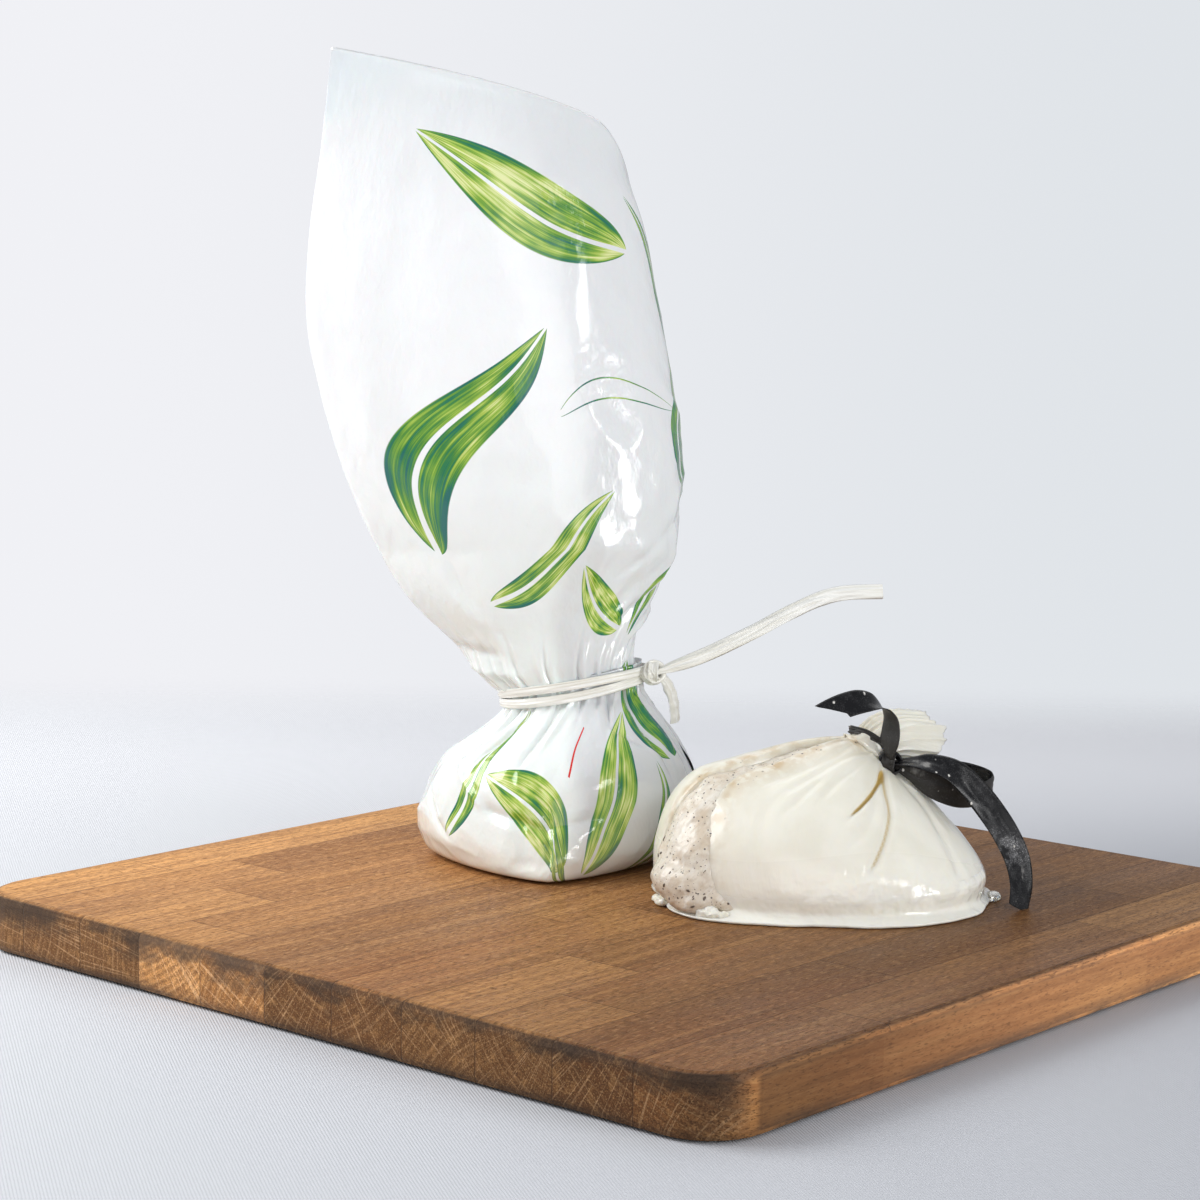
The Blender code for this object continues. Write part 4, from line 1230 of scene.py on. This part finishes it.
def knot_turn(name, middle, radii, section, seat, spin, lean, size, cup, seed):
    """One turn of a knot: a short strip bent into a tilted ring. The section is width, thickness."""
    turns = np.linspace(0, math.tau, 17)
    ring = np.column_stack([radii[0] * size * np.cos(turns), np.sin(turns) * radii[1] * size,
                            0.0 * turns])
    tilt = np.array(Matrix.Rotation(math.pi / 2 - lean, 3, "X") @ Matrix.Rotation(spin, 3, "Y"))
    stops = np.column_stack([middle + ring @ tilt.T, np.zeros(len(turns))])
    return strip(name, stops, tilt[:, 2], section[0] * size, section[1], seat, stations=90, cup=cup,
                 sway=0.0006, seed=seed)


KNOT = np.array([0.0252, -0.0042, 0.0476])
for index, (spin, lean, size) in enumerate(((0.0, 0.25, 1.0), (1.25, -0.15, 0.86))):
    ribbon.append(knot_turn(f"ribbon_knot_{index}", KNOT, (0.0033, 0.0030), (0.0056, 0.0011),
                            cheese_seat, spin, lean, size, cup=-0.0011, seed=8 + index))
knot_core = lump_body("ribbon_knot_core", KNOT, (0.0030, 0.0027, 0.0029))
tidy_mesh()
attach(knot_core, "root")
paint(knot_core, "inner", np.zeros(len(knot_core.data.vertices)))
ribbon.append(knot_core)

# %% [markdown]
# Black satin is not quite black: its fine ribs catch a silvery sheen, here a painted sheen in the
# colour, with a painted highlight and painted glints where the fall bends. The reverse is duller and
# browner, and this one carries splashes of cream. The splashes are colour, with a bump that raises
# them a little, because real drops would be too many and too small to model.

# %% Finish of the ribbon
RIB, THREAD = 0.00036, 0.00024     # spacing of the weave along and across the ribbon
LOOP_BEND = 0.094                  # x from which the loop turns back

satin = new_finish("black_satin", Specular_IOR_Level=0.24, Coat_Weight=0.06, Coat_Roughness=0.16)
place = own_place()
weave_place = put("ShaderNodeUVMap").outputs["UV"]
inner = painted_as("inner")
across, along, _ = put("ShaderNodeSeparateXYZ", {0: weave_place}).outputs
ribs = maths("SINE", times(along, math.tau / RIB))
threads = maths("SINE", times(across, math.tau / THREAD))
weave = plus(times(ribs, 0.6), times(threads, 0.4))
sheen_and_wear = grain(place, (260.0, 260.0, 260.0), detail=5.0, roughness=0.7)
colour = blend(inner, (0.004, 0.004, 0.005), (0.026, 0.024, 0.022))
# painted sheen on the ribs
rib_sheen = times(fade(sheen_and_wear, 0.54, 0.72), fade(weave, -0.8, 0.8, 0.25, 1.0))
colour = blend(times(rib_sheen, 0.22), colour, (0.085, 0.085, 0.088))
glints = grain(place, (2600.0, 2600.0, 2600.0), detail=1.0)
x, y, z = put("ShaderNodeSeparateXYZ", {0: place}).outputs
# painted highlight where the fall bends
bend_highlight = fade(size_of(minus(z, 0.040)), 0.001, 0.008, 1.0, 0.0)
bend_highlight = times(bend_highlight, fade(x, LOOP_BEND, LOOP_BEND + 0.006))
colour = blend(times(bend_highlight, fade(sheen_and_wear, 0.40, 0.62, 0.05, 0.60)), colour, (0.120, 0.120, 0.124))
# painted glints, most where the fall bends
glints = times(fade(glints, 0.54, 0.66), fade(sheen_and_wear, 0.40, 0.60))
glints = times(glints, plus(0.10, times(bend_highlight, 0.80)))
colour = blend(glints, colour, (0.380, 0.380, 0.385))
drop_place = put("ShaderNodeMapping", {"Vector": place, "Scale": (330.0, 330.0, 250.0)}).outputs[0]
splash = scattered(drop_place, 1.0, (0.10, 0.19), (0.66, 0.68))
smear = times(fade(grain(place, (130.0, 130.0, 60.0), detail=4.0), 0.63, 0.72), 0.35)
milk = larger(splash, smear)
colour = blend(milk, colour, (0.620, 0.600, 0.560))
drive(Base_Color=colour, Roughness=plus(fade(sheen_and_wear, 0.3, 0.7, 0.20, 0.34), times(inner, 0.25)),
      Normal=relief(splash, 0.0002, relief(weave, 0.000006)))
for piece in ribbon:
    piece.data.materials.append(satin)
    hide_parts("black_ribbon")

# %% [markdown]
# ## The film bag
# The second cheese is still packed in a tube of white film. Film cannot stretch, so a bag reads as
# film only by its folds: flat facets and sharp creases round the cheese, tight gathers above and
# below the tie, and long soft buckles in the flattened top. The bag is one grid, from under the
# cheese to the top edge and a little way back down inside, so the mouth is a real slit.

# %% Form of the bag
# height, left, right, front, back, roundness: 2 is an ellipse, less is squarer on the diagonal
BULB = ((0.0003, -0.0400, 0.0370, -0.0500, 0.0460, 1.35),
        (0.0020, -0.0470, 0.0440, -0.0550, 0.0520, 1.40),
        (0.0080, -0.0515, 0.0510, -0.0545, 0.0535, 1.55),
        (0.0170, -0.0520, 0.0530, -0.0510, 0.0500, 1.70),
        (0.0270, -0.0500, 0.0525, -0.0470, 0.0460, 1.85),
        (0.0370, -0.0465, 0.0470, -0.0420, 0.0410, 1.95),
        (0.0460, -0.0395, 0.0400, -0.0350, 0.0340, 2.00),
        (0.0540, -0.0270, 0.0345, -0.0250, 0.0250, 2.00),
        (0.0600, -0.0200, 0.0320, -0.0180, 0.0180, 2.00),
        (0.0690, -0.0195, 0.0315, -0.0175, 0.0175, 2.00))

# share of the way up, left fold, right turn, half thickness, bend to the back
FLARE = ((0.00, -0.0195, 0.0310, 0.0175, 0.000),
         (0.04, -0.0285, 0.0290, 0.0185, 0.002),
         (0.09, -0.0370, 0.0275, 0.0190, 0.006),
         (0.17, -0.0545, 0.0280, 0.0190, 0.013),
         (0.27, -0.0690, 0.0305, 0.0185, 0.020),
         (0.40, -0.0820, 0.0340, 0.0175, 0.028),
         (0.50, -0.0890, 0.0345, 0.0160, 0.034),
         (0.60, -0.0935, 0.0330, 0.0140, 0.038),
         (0.72, -0.0928, 0.0310, 0.0105, 0.042),
         (0.86, -0.0882, 0.0290, 0.0060, 0.046),
         (1.00, -0.0846, 0.0262, 0.0014, 0.048))
TIE_HEIGHT = 0.0640
TIE_SLOPE = 0.19
BAG_TOP = 0.297
FILM_WIDTH = 0.160     # of the tube, pressed flat
BULB_LENGTH = 0.085    # of film from the tie down to the foot
FLARE_LENGTH = 0.228   # of film from the tie up to the top edge
POCKET_DEPTH = 0.020   # of film back down inside the mouth
FILM_GIRTH = 0.27      # round the widest part, for widths of folds
print("film", round(1000 * (BULB_LENGTH + FLARE_LENGTH)), "mm from foot to top edge")


def powered(value, power):
    return np.sign(value) * np.abs(value) ** power


def bulb_points(share, angle):
    height, left, right, front, back, roundness = bent_line(BULB, share).T
    tilt = TIE_SLOPE * np.clip((height - 0.008) / 0.045, 0, 1)
    x = (right - left) / 2 * powered(np.cos(angle), 2 / roundness)
    y = (back - front) / 2 * powered(np.sin(angle), 2 / roundness)
    return np.column_stack([(left + right) / 2 + x, (front + back) / 2 + y, height + tilt * x])


def through(sections, at):
    """The columns of a table of sections, on a smooth curve at any share of the way up."""
    table = np.array(sections)
    places = table[:, 0]
    slopes = np.gradient(table[:, 1:], places, axis=0)
    index = np.clip(np.searchsorted(places, at) - 1, 0, len(places) - 2)
    gap = (places[index + 1] - places[index])[:, None]
    t = np.clip(at - places[index], 0, None)[:, None] / gap
    low, high = table[index, 1:], table[index + 1, 1:]
    return (low * (2 * t ** 3 - 3 * t ** 2 + 1) + high * (3 * t ** 2 - 2 * t ** 3)
            + slopes[index] * gap * (t ** 3 - 2 * t ** 2 + t)
            + slopes[index + 1] * gap * (t ** 3 - t ** 2)).T


def flare_points(rise, angle, thinning):
    left, right, half, bend = through(FLARE, rise)
    open_up = np.clip(rise / 0.25, 0, 1)
    corner = (left + right) / 2 * (1 - open_up) + (right + 0.012) * open_up
    end = right - 0.002 * open_up
    share = (np.cos(angle) + 1) / 2
    near, mid, far = (1 - share) ** 2, 2 * share * (1 - share), share ** 2
    x = near * left + mid * corner + far * end
    y = near * 0.006 * open_up - mid * 0.012 * open_up + far * bend
    slope_x = (1 - share) * (corner - left) + share * (end - corner)
    slope_y = -(1 - share) * 0.018 * open_up + share * (bend + 0.012 * open_up)
    size = np.hypot(slope_x, slope_y)
    foot = TIE_HEIGHT + TIE_SLOPE * (x - 0.006)
    top = BAG_TOP - 0.042 * share - 0.060 * (np.clip(share - 0.55, 0, 1) / 0.45) ** 2
    offset = half * thinning * powered(np.sin(angle), 1 + 0.4 * open_up)
    return np.column_stack([x - slope_y / size * offset, y + slope_x / size * offset,
                            foot + (top - foot) * rise])


# %% Where each row of the grid lies
BULB_ROWS, POCKET_ROWS = 0.44, 0.955


def film_rows(v):
    """Share of the way up the bulb, share up the flare, and share down into the mouth."""
    bulb = np.clip(v / BULB_ROWS, 0, 1)
    flare = np.clip((v - BULB_ROWS) / (POCKET_ROWS - BULB_ROWS), 0, 1)
    pocket = np.clip((v - POCKET_ROWS) / (1 - POCKET_ROWS), 0, 1)
    return bulb, flare ** 1.25, pocket


def film_smooth(u, v):
    bulb, rise, pocket = film_rows(v)
    angle = u * math.tau
    low = bulb_points(bulb, angle)
    foot_centre = np.array([-0.0015, -0.0015, 0.0003])
    gather = step(bulb, 0.0, 0.03)
    low = foot_centre + (low - foot_centre) * gather[:, None]
    thinning = np.where(pocket > 0, 0.55 * (1 - step(pocket, 0.8, 1.0)), 1.0)
    high = flare_points(np.where(pocket > 0, 1 - 0.11 * pocket, rise), angle, thinning)
    join = step(rise, 0.0, 0.012)[:, None]
    return np.where((v < BULB_ROWS)[:, None], low, low * (1 - join) + high * join)


# %% Folds of the film
# Each fold runs between two spots, given by bearing in degrees and height in millimetres from the
# tie, with a width and a depth in millimetres. A negative depth makes a ridge.
FOLDS = (
    ((262, -4), (252, -34), 1.6, 1.6), ((270, -4), (262, -26), 1.2, -1.2),
    ((300, -6), (302, -24), 1.3, 1.5), ((308, -8), (300, -30), 1.4, -1.0),
    ((318, -4), (330, -44), 1.8, 1.6), ((329, -4), (341, -50), 1.6, -1.4),
    ((338, -4), (352, -46), 1.6, 1.4), ((236, -5), (226, -32), 1.6, 1.4),
    ((222, -5), (206, -36), 1.8, 1.5), ((206, -5), (190, -34), 1.6, -1.3),
    ((238, -48), (262, -54), 2.4, 1.7), ((262, -54), (290, -52), 2.6, 1.3),
    ((214, -30), (236, -48), 1.8, -1.0), ((196, -42), (216, -60), 2.0, 1.2),
    ((252, -34), (258, -60), 1.4, -0.9), ((262, -40), (268, -66), 1.6, 1.1),
    ((302, -24), (320, -34), 1.6, 1.0), ((178, -10), (168, -50), 1.8, 1.4),
    ((150, -5), (140, -48), 2.0, 1.5), ((118, -5), (112, -40), 1.8, 1.5),
    ((92, -5), (96, -52), 2.0, 1.4), ((60, -5), (50, -44), 1.8, 1.5),
    ((30, -5), (20, -50), 2.0, 1.5), ((8, -6), (0, -40), 1.8, 1.2),
    ((190, 13), (236, 9), 2.4, -1.7), ((188, 21), (228, 17), 2.2, 1.4),
    ((300, 30), (322, 58), 2.2, 1.3), ((318, 24), (338, 48), 2.0, -1.2),
    ((288, 50), (312, 84), 2.0, 1.0), ((228, 40), (214, 84), 2.6, 1.2),
)
print(len(FOLDS), "folds")


def film_height(v):
    """Height above the tie along the film, in metres."""
    bulb, rise, pocket = film_rows(v)
    return np.where(v < BULB_ROWS, -(1 - bulb) * BULB_LENGTH,
                    rise * FLARE_LENGTH - pocket * POCKET_DEPTH)


def film_relief(u, v):
    """How far the folds push the film out, in metres."""
    angle = u * math.tau
    degrees = u * 360
    height = film_height(v) * 1000
    girth = FILM_GIRTH / 360 * 1000 * np.interp(height, (-60, -25, 0, 30, 230),
                                                (1.0, 0.95, 0.55, 0.8, 1.15))
    push = np.zeros_like(u)
    for (start_turn, start_height), (end_turn, end_height), width, deep in FOLDS:
        t = np.clip((height - start_height) / (end_height - start_height), -0.3, 1.3)
        if abs(end_height - start_height) < 8:
            t = np.clip((degrees - start_turn) / (end_turn - start_turn), -0.3, 1.3)
            away = height - (start_height + (end_height - start_height) * t)
        else:
            away = short_way(degrees - (start_turn + (end_turn - start_turn) * t)) * girth
        gate = step(t, -0.2, 0.1) * (1 - step(t, 0.75, 1.25))
        push -= deep * gate * (1 - np.clip(np.abs(away) / (width * 1.8), 0, 1)) ** 1.6
    gathers = (0.55 * np.cos(angle * 13 + 1.9 * np.sin(angle * 2 + 0.5))
               + 0.30 * np.cos(angle * 24 + 1.4 * np.sin(angle * 3)) + 0.12 * np.cos(angle * 41))
    gathers = np.abs(gathers) - 0.45
    push += gathers * (2.0 * hill(height, 7, 13) + 1.5 * hill(height, -7, 11)) * step(
        np.abs(height), 1.0, 6.0)
    sheet = np.column_stack([u * 0.32, film_height(v), 0 * u])
    long_buckles = lumps(sheet, 0.030, 21, stretch=(0.55, 2.6, 1.0))
    push += 1.3 * long_buckles * step(height, 4, 40) * (1 - step(height, 150, 235))
    push += 0.5 * lumps(sheet, 0.016, 25, stretch=(0.7, 2.0, 1.0)) * step(height, 10, 40)
    facets = np.abs(lumps(sheet, 0.024, 22)) + 0.45 * np.abs(lumps(sheet, 0.011, 23))
    push -= 1.9 * facets * (1 - step(height, -14, -2)) * step(height, -80, -66)
    share = (np.cos(angle) + 1) / 2
    front = np.sin(angle) < 0
    crest = np.interp(height, (30, 90, 150, 230), (0.34, 0.42, 0.40, 0.26))
    away = np.where(share < crest, (crest - share) / crest, (share - crest) / (1 - crest))
    away = np.hypot(np.clip(away, 0, 1), 0.12) - 0.12
    push += 6.0 * np.clip(1 - away / 0.888, 0, 1) * front * step(height, 20, 75) * (
        1 - 0.4 * step(height, 190, 228))
    creased = (1 - np.abs(lumps(sheet, 0.026, 27, stretch=(0.8, 1.6, 1.0)))) ** 6
    push += 0.9 * creased * step(height, 20, 50) * (1 - step(height, 130, 190)) * step(share, 0.2, 0.5)
    crumple = np.abs(lumps(sheet, 0.014, 24, stretch=(0.8, 1.4, 1.0))) + 0.6 * np.abs(
        lumps(sheet, 0.007, 28, stretch=(0.9, 1.2, 1.0)))
    right_side = 0.35 + 0.65 * step(share, 0.35, 0.65)
    push -= 1.0 * crumple * step(height, 4, 22) * (1 - step(height, 70, 150)) * right_side
    push -= 0.30 * crumple * step(height, 70, 150)
    return push / 1000


def film_shape(u, v):
    points = film_smooth(u, v)
    tiny = 0.0008
    around = film_smooth(u + tiny, v) - film_smooth(u - tiny, v)
    upward = film_smooth(u, np.clip(v + tiny, 0, 1)) - film_smooth(u, np.clip(v - tiny, 0, 1))
    out = np.cross(around, upward)
    size = np.linalg.norm(out, axis=1)
    out = out / np.maximum(size, 1e-12)[:, None]
    bulb, _, _ = film_rows(v)
    calm = step(bulb, 0.05, 0.22) * (1 - step(v, 0.90, 0.95))
    edge = 1 - 0.7 * np.clip(hill(u, 0.5, 0.02) + hill(u, 0.0, 0.02) + hill(u, 1.0, 0.02), 0, 1)
    push = film_relief(u, v) * calm * np.where(v > BULB_ROWS, edge, 1.0)
    points = points + out * push[:, None]
    points[:, 2] = np.maximum(points[:, 2], 0.0003)
    return points


PAINT_LOW, PAINT_SPAN = -0.1, 0.4      # heights on the film, kept as numbers from 0 to 1


def film_paints(u, v):
    """Place on the flat film, and painted shade: greyer right of the crest, most on the bulb, and near
    the top.
    """
    share = (np.cos(u * math.tau) + 1) / 2
    front = np.clip(0.5 - np.sin(u * math.tau) * 40, 0, 1)
    up = film_height(v)
    crest = np.interp(up, (-0.08, -0.02, 0.03, 0.09, 0.15, 0.23), (0.62, 0.52, 0.40, 0.44, 0.42, 0.27))
    # painted shade to the right of the crest, most below the tie, and a little near the top
    painted_shade = step(share, crest - 0.03, crest + 0.09) * (1.0 - 0.45 * step(up, -0.01, 0.05))
    painted_shade = np.maximum(painted_shade, 0.45 * step(up, 0.165, 0.215))
    return {"share": share, "front": front, "height": (up - PAINT_LOW) / PAINT_SPAN,
            "painted_shade": painted_shade}


film = lay("bag_film", 380, 250, film_shape, pack_seat, film_paints)
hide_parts("pack_bag")

# %% [markdown]
# The film is printed with leaves. A leaf is drawn by a node group in the flat plane of the film: a
# bent middle line, a width that swells and runs out to a tip, a white gap for the midrib, and long
# stripes between green and yellow. The same group draws every leaf, each with its own numbers.

# %% One printed leaf
LEAF_SOCKETS = ("X", "Y", "Centre X", "Centre Y", "Turn", "Length", "Width", "Bend", "Wave", "Tone",
                "Hollow")
leaf = tree = bpy.data.node_groups.new("printed_leaf", "ShaderNodeTree")
for name in LEAF_SOCKETS:
    leaf.interface.new_socket(name, in_out="INPUT", socket_type="NodeSocketFloat")
leaf.interface.new_socket("Mask", in_out="OUTPUT", socket_type="NodeSocketFloat")
leaf.interface.new_socket("Color", in_out="OUTPUT", socket_type="NodeSocketColor")
given = dict(zip(LEAF_SOCKETS, put("NodeGroupInput").outputs))


def along_and_across(dx, dy, cosine, sine):
    """A place along and across a direction."""
    return (plus(times(dx, cosine), times(dy, sine)), minus(times(dy, cosine), times(dx, sine)))


p, q = along_and_across(minus(given["X"], given["Centre X"]), minus(given["Y"], given["Centre Y"]),
                        maths("COSINE", given["Turn"]), maths("SINE", given["Turn"]))
s = put("ShaderNodeClamp", {0: plus(maths("DIVIDE", p, given["Length"]), 0.5)}).outputs[0]
to_tip = minus(1.0, s)
arch = maths("SINE", times(s, math.pi))
twist = maths("SINE", times(s, math.tau))
middle = plus(times(times(arch, given["Bend"]), given["Length"]),
              times(times(twist, given["Wave"]), given["Length"]))
q = minus(q, middle)
swell = times(maths("POWER", s, 0.62), maths("POWER", to_tip, 0.95))
half = larger(times(swell, times(given["Width"], 1.05)), 1e-6)
t = maths("DIVIDE", q, half)
apart = size_of(t)
inside = fade(apart, 0.965, 1.0, 1.0, 0.0)
off_rib = size_of(minus(q, times(half, 0.12)))
rib = fade(minus(off_rib, times(to_tip, 0.0007)), 0.00030, 0.00050)
rim = fade(apart, 0.80, 0.86)
solid = minus(1.0, times(given["Hollow"], minus(1.0, rim)))
stripes = put("ShaderNodeTexNoise", {"Vector": combine(times(t, 9.0), times(s, 1.4), given["Centre X"]),
                                     "Scale": 1.0, "Detail": 4.0, "Roughness": 0.65}).outputs["Fac"]
patches = put("ShaderNodeTexNoise", {"Vector": combine(t, times(s, 3.2), given["Centre Y"]),
                                     "Scale": 1.1, "Detail": 2.0}).outputs["Fac"]
mixed = plus(times(stripes, 1.70), times(patches, 1.70))
mixed = plus(mixed, minus(given["Tone"], 1.24))
mixed = plus(mixed, times(rim, 0.12))
green = run_of_colours(mixed, (0.25, (0.740, 0.780, 0.360)), (0.42, (0.420, 0.560, 0.080)),
                       (0.56, (0.190, 0.380, 0.035)), (0.72, (0.050, 0.230, 0.035)),
                       (0.85, (0.012, 0.180, 0.075)), (0.98, (0.004, 0.130, 0.110)))
put("NodeGroupOutput", {"Mask": times(times(inside, rib), solid), "Color": green})
print("one leaf takes", len(leaf.nodes), "nodes")

# %% Printed film
# across and up from the tie in millimetres, turn in degrees, length, width, bend, wave, tone,
# hollow. The back of the tube goes on to the right of the front.
LEAVES = (
    (60, 190, 158, 80, 38, 0.08, 0.02, 0.02, 0.0),
    (112, 172, 118, 62, 16, -0.12, 0.05, 0.26, 0.0),
    (42, 98, 62, 96, 30, 0.10, 0.05, 0.20, 0.0),
    (62, 58, 40, 66, 20, -0.10, -0.04, 0.08, 0.0),
    (92, 112, 12, 54, 12, 0.12, 0.05, 0.14, 1.0),
    (128, 116, 104, 70, 20, 0.10, 0.05, 0.30, 0.0),
    (100, 38, 150, 50, 22, 0.10, 0.0, 0.04, 0.0),
    (136, 44, 80, 44, 13, 0.12, 0.0, 0.16, 0.0),
    (64, -52, 150, 66, 34, -0.08, 0.0, 0.02, 0.0),
    (88, -64, 128, 48, 12, 0.06, 0.0, 0.20, 0.0),
    (122, -46, 66, 60, 30, 0.08, 0.0, 0.08, 0.0),
    (140, -60, 84, 46, 10, -0.08, 0.0, 0.26, 0.0),
    (148, -14, 100, 52, 26, 0.08, 0.0, 0.28, 0.0),
    (24, -34, 74, 56, 14, -0.10, 0.0, 0.12, 0.0),
    (222, 120, 100, 96, 32, 0.10, 0.05, 0.20, 0.0),
    (262, 172, 40, 70, 24, -0.10, 0.04, 0.24, 0.0),
    (206, 48, 60, 70, 20, 0.08, 0.05, 0.26, 0.0),
    (272, 74, 118, 76, 22, 0.12, 0.0, 0.14, 0.0),
    (236, -40, 30, 66, 26, 0.10, 0.0, 0.20, 0.0),
    (284, -52, 120, 52, 18, -0.10, 0.0, 0.30, 0.0),
)

print_finish = new_finish("bag_film", Roughness=0.20, Coat_Weight=0.65, Coat_Roughness=0.06,
                          Subsurface_Weight=0.10, Subsurface_Scale=0.004, IOR=1.46)
share, front, height, painted_shade = map(painted_as, ("share", "front", "height", "painted_shade"))
flat_x = times(share, FILM_WIDTH)
flat_x = plus(times(flat_x, minus(times(maths("GREATER_THAN", front, 0.5), 2.0), 1.0)),
              times(maths("LESS_THAN", front, 0.5), 2 * FILM_WIDTH))
flat_y = plus(times(height, PAINT_SPAN), PAINT_LOW)
place = own_place()
haze = grain(place, (16.0, 16.0, 16.0), detail=2.0)
low = fade(height, 0.25, 0.60, 1.0, 0.0)
colour = blend(haze, (0.870, 0.880, 0.880), (0.910, 0.915, 0.915))
colour = blend(low, colour, (0.840, 0.885, 0.860))
# painted shade: greyer film to the right of the crest, most on the bulb, and near the top
colour = blend(painted_shade, colour, (0.670, 0.682, 0.690))
for across, up, turn, length, width, *looks in LEAVES:
    numbers = (flat_x, flat_y, across / 1000, up / 1000, math.radians(turn), length / 1000,
               width / 1000, *looks)
    drawn = put("ShaderNodeGroup", dict(zip(LEAF_SOCKETS, numbers)), node_tree=leaf)
    colour = blend(drawn.outputs["Mask"], colour, drawn.outputs["Color"])

# a short red bar, placed across and up from the tie
BAR_ACROSS, BAR_UP, BAR_TURN, BAR_LENGTH, BAR_WIDTH = 0.094, -0.030, math.radians(60), 0.019, 0.0012
p, q = along_and_across(minus(flat_x, BAR_ACROSS), minus(flat_y, BAR_UP), math.cos(BAR_TURN),
                        math.sin(BAR_TURN))
bar = times(maths("LESS_THAN", size_of(p), BAR_LENGTH / 2),
            maths("LESS_THAN", size_of(q), BAR_WIDTH / 2))
colour = blend(bar, colour, (0.640, 0.020, 0.020))
# painted reflection of the board: the film turns warm towards its foot
warm = fade(flat_y, -0.048, -0.082)
colour = blend(times(warm, 0.26), colour, (0.860, 0.640, 0.380))
fine = grain(place, (75.0, 75.0, 45.0), detail=4.0, roughness=0.6)
drive(Base_Color=colour, Normal=relief(fine, 0.0010))
film.data.materials.append(print_finish)

# %% [markdown]
# ## The tie
# A flat ribbon of ivory plastic goes twice round the neck of the bag. Its strands cross at the
# front, are knotted on the right and leave a long tail that springs out to the side.

# %% Tie
TIE = 0.0056
TIE_SATIN = 0.0007
BAG_HOOP_STOPS = 37


def neck_hoop(grow, lift, wave, phase):
    """Stops once round the neck of the bag."""
    turns = np.linspace(0, math.tau, BAG_HOOP_STOPS)
    x = 0.006 + (0.0258 + grow) * np.cos(turns)
    y = (0.0178 + grow) * np.sin(turns)
    z = TIE_HEIGHT + TIE_SLOPE * (x - 0.006) + lift + wave * np.sin(turns + phase)
    return np.column_stack([x, y, z, 0 * turns])


UP = (-TIE_SLOPE, 0.0, 1.0)
LONG_TAIL = ((0.0345, -0.0085, 0.0700, 1.0), (0.0420, -0.0080, 0.0722, 1.1),
             (0.0520, -0.0060, 0.0758, 1.1), (0.0640, -0.0035, 0.0808, 1.2),
             (0.0755, -0.0015, 0.0866, 1.2), (0.0861, 0.0, 0.0922, 1.2),
             (0.0960, 0.0010, 0.0968, 1.25), (0.1060, 0.0020, 0.0994, 1.35),
             (0.1207, 0.0035, 0.1000, 1.4))
SHORT_TAIL = ((0.0355, -0.0060, 0.0690, 0.7), (0.0400, -0.0045, 0.0675, 0.7),
              (0.0430, -0.0015, 0.0620, 0.7), (0.0445, 0.0005, 0.0560, 0.7),
              (0.0448, 0.0015, 0.0500, 0.7))
tie = [
    strip("tie_strand_low", neck_hoop(0.0010, -0.0012, 0.0007, 0.4), UP, 0.0036, TIE_SATIN,
          pack_seat, stations=260, sway=0.0006, seed=31),
    strip("tie_strand_high", neck_hoop(0.0016, 0.0016, 0.0011, 3.4), UP, 0.0034, TIE_SATIN,
          pack_seat, stations=260, sway=0.0007, seed=32),
    strip("tie_long_tail", LONG_TAIL, AWAY, TIE, TIE_SATIN, pack_seat, stations=200,
          taper=pinched(0.45, 0.25), cup=0.0006, sway=0.0009, seed=33),
    strip("tie_short_tail", SHORT_TAIL, AWAY, TIE, TIE_SATIN, pack_seat, stations=110,
          taper=pinched(0.5, 0.3), cup=0.0008, sway=0.0008, seed=34),
]
TIE_KNOT = np.array([0.0358, -0.0072, 0.0700])
for index, (spin, lean, size) in enumerate(((0.3, 0.35, 1.0), (1.5, -0.25, 0.92),
                                            (0.9, 1.0, 0.80))):
    tie.append(knot_turn(f"tie_knot_{index}", TIE_KNOT, (0.0034, 0.0032), (0.0042, 0.0012),
                         pack_seat, spin, lean, size, cup=-0.0010, seed=40 + index))

plastic = new_finish("tie_plastic", Roughness=0.30, Coat_Weight=0.3, Coat_Roughness=0.15, IOR=1.48)
spread = put("ShaderNodeUVMap").outputs["UV"]
across, along, _ = put("ShaderNodeSeparateXYZ", {0: spread}).outputs
threads = put("ShaderNodeTexNoise", {"Vector": combine(times(across, 1500.0), times(along, 22.0)),
                                     "Scale": 1.0, "Detail": 1.0}).outputs["Fac"]
ivory = blend(fade(threads, 0.35, 0.65), (0.800, 0.785, 0.710), (0.900, 0.895, 0.855))
drive(Base_Color=ivory, Normal=relief(threads, 0.00004))
for piece in tie:
    piece.data.materials.append(plastic)
    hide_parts("pack_tie")

# %% Finish
low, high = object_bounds()
print("dressed part from", [round(v, 4) for v in low], "to", [round(v, 4) for v in high])
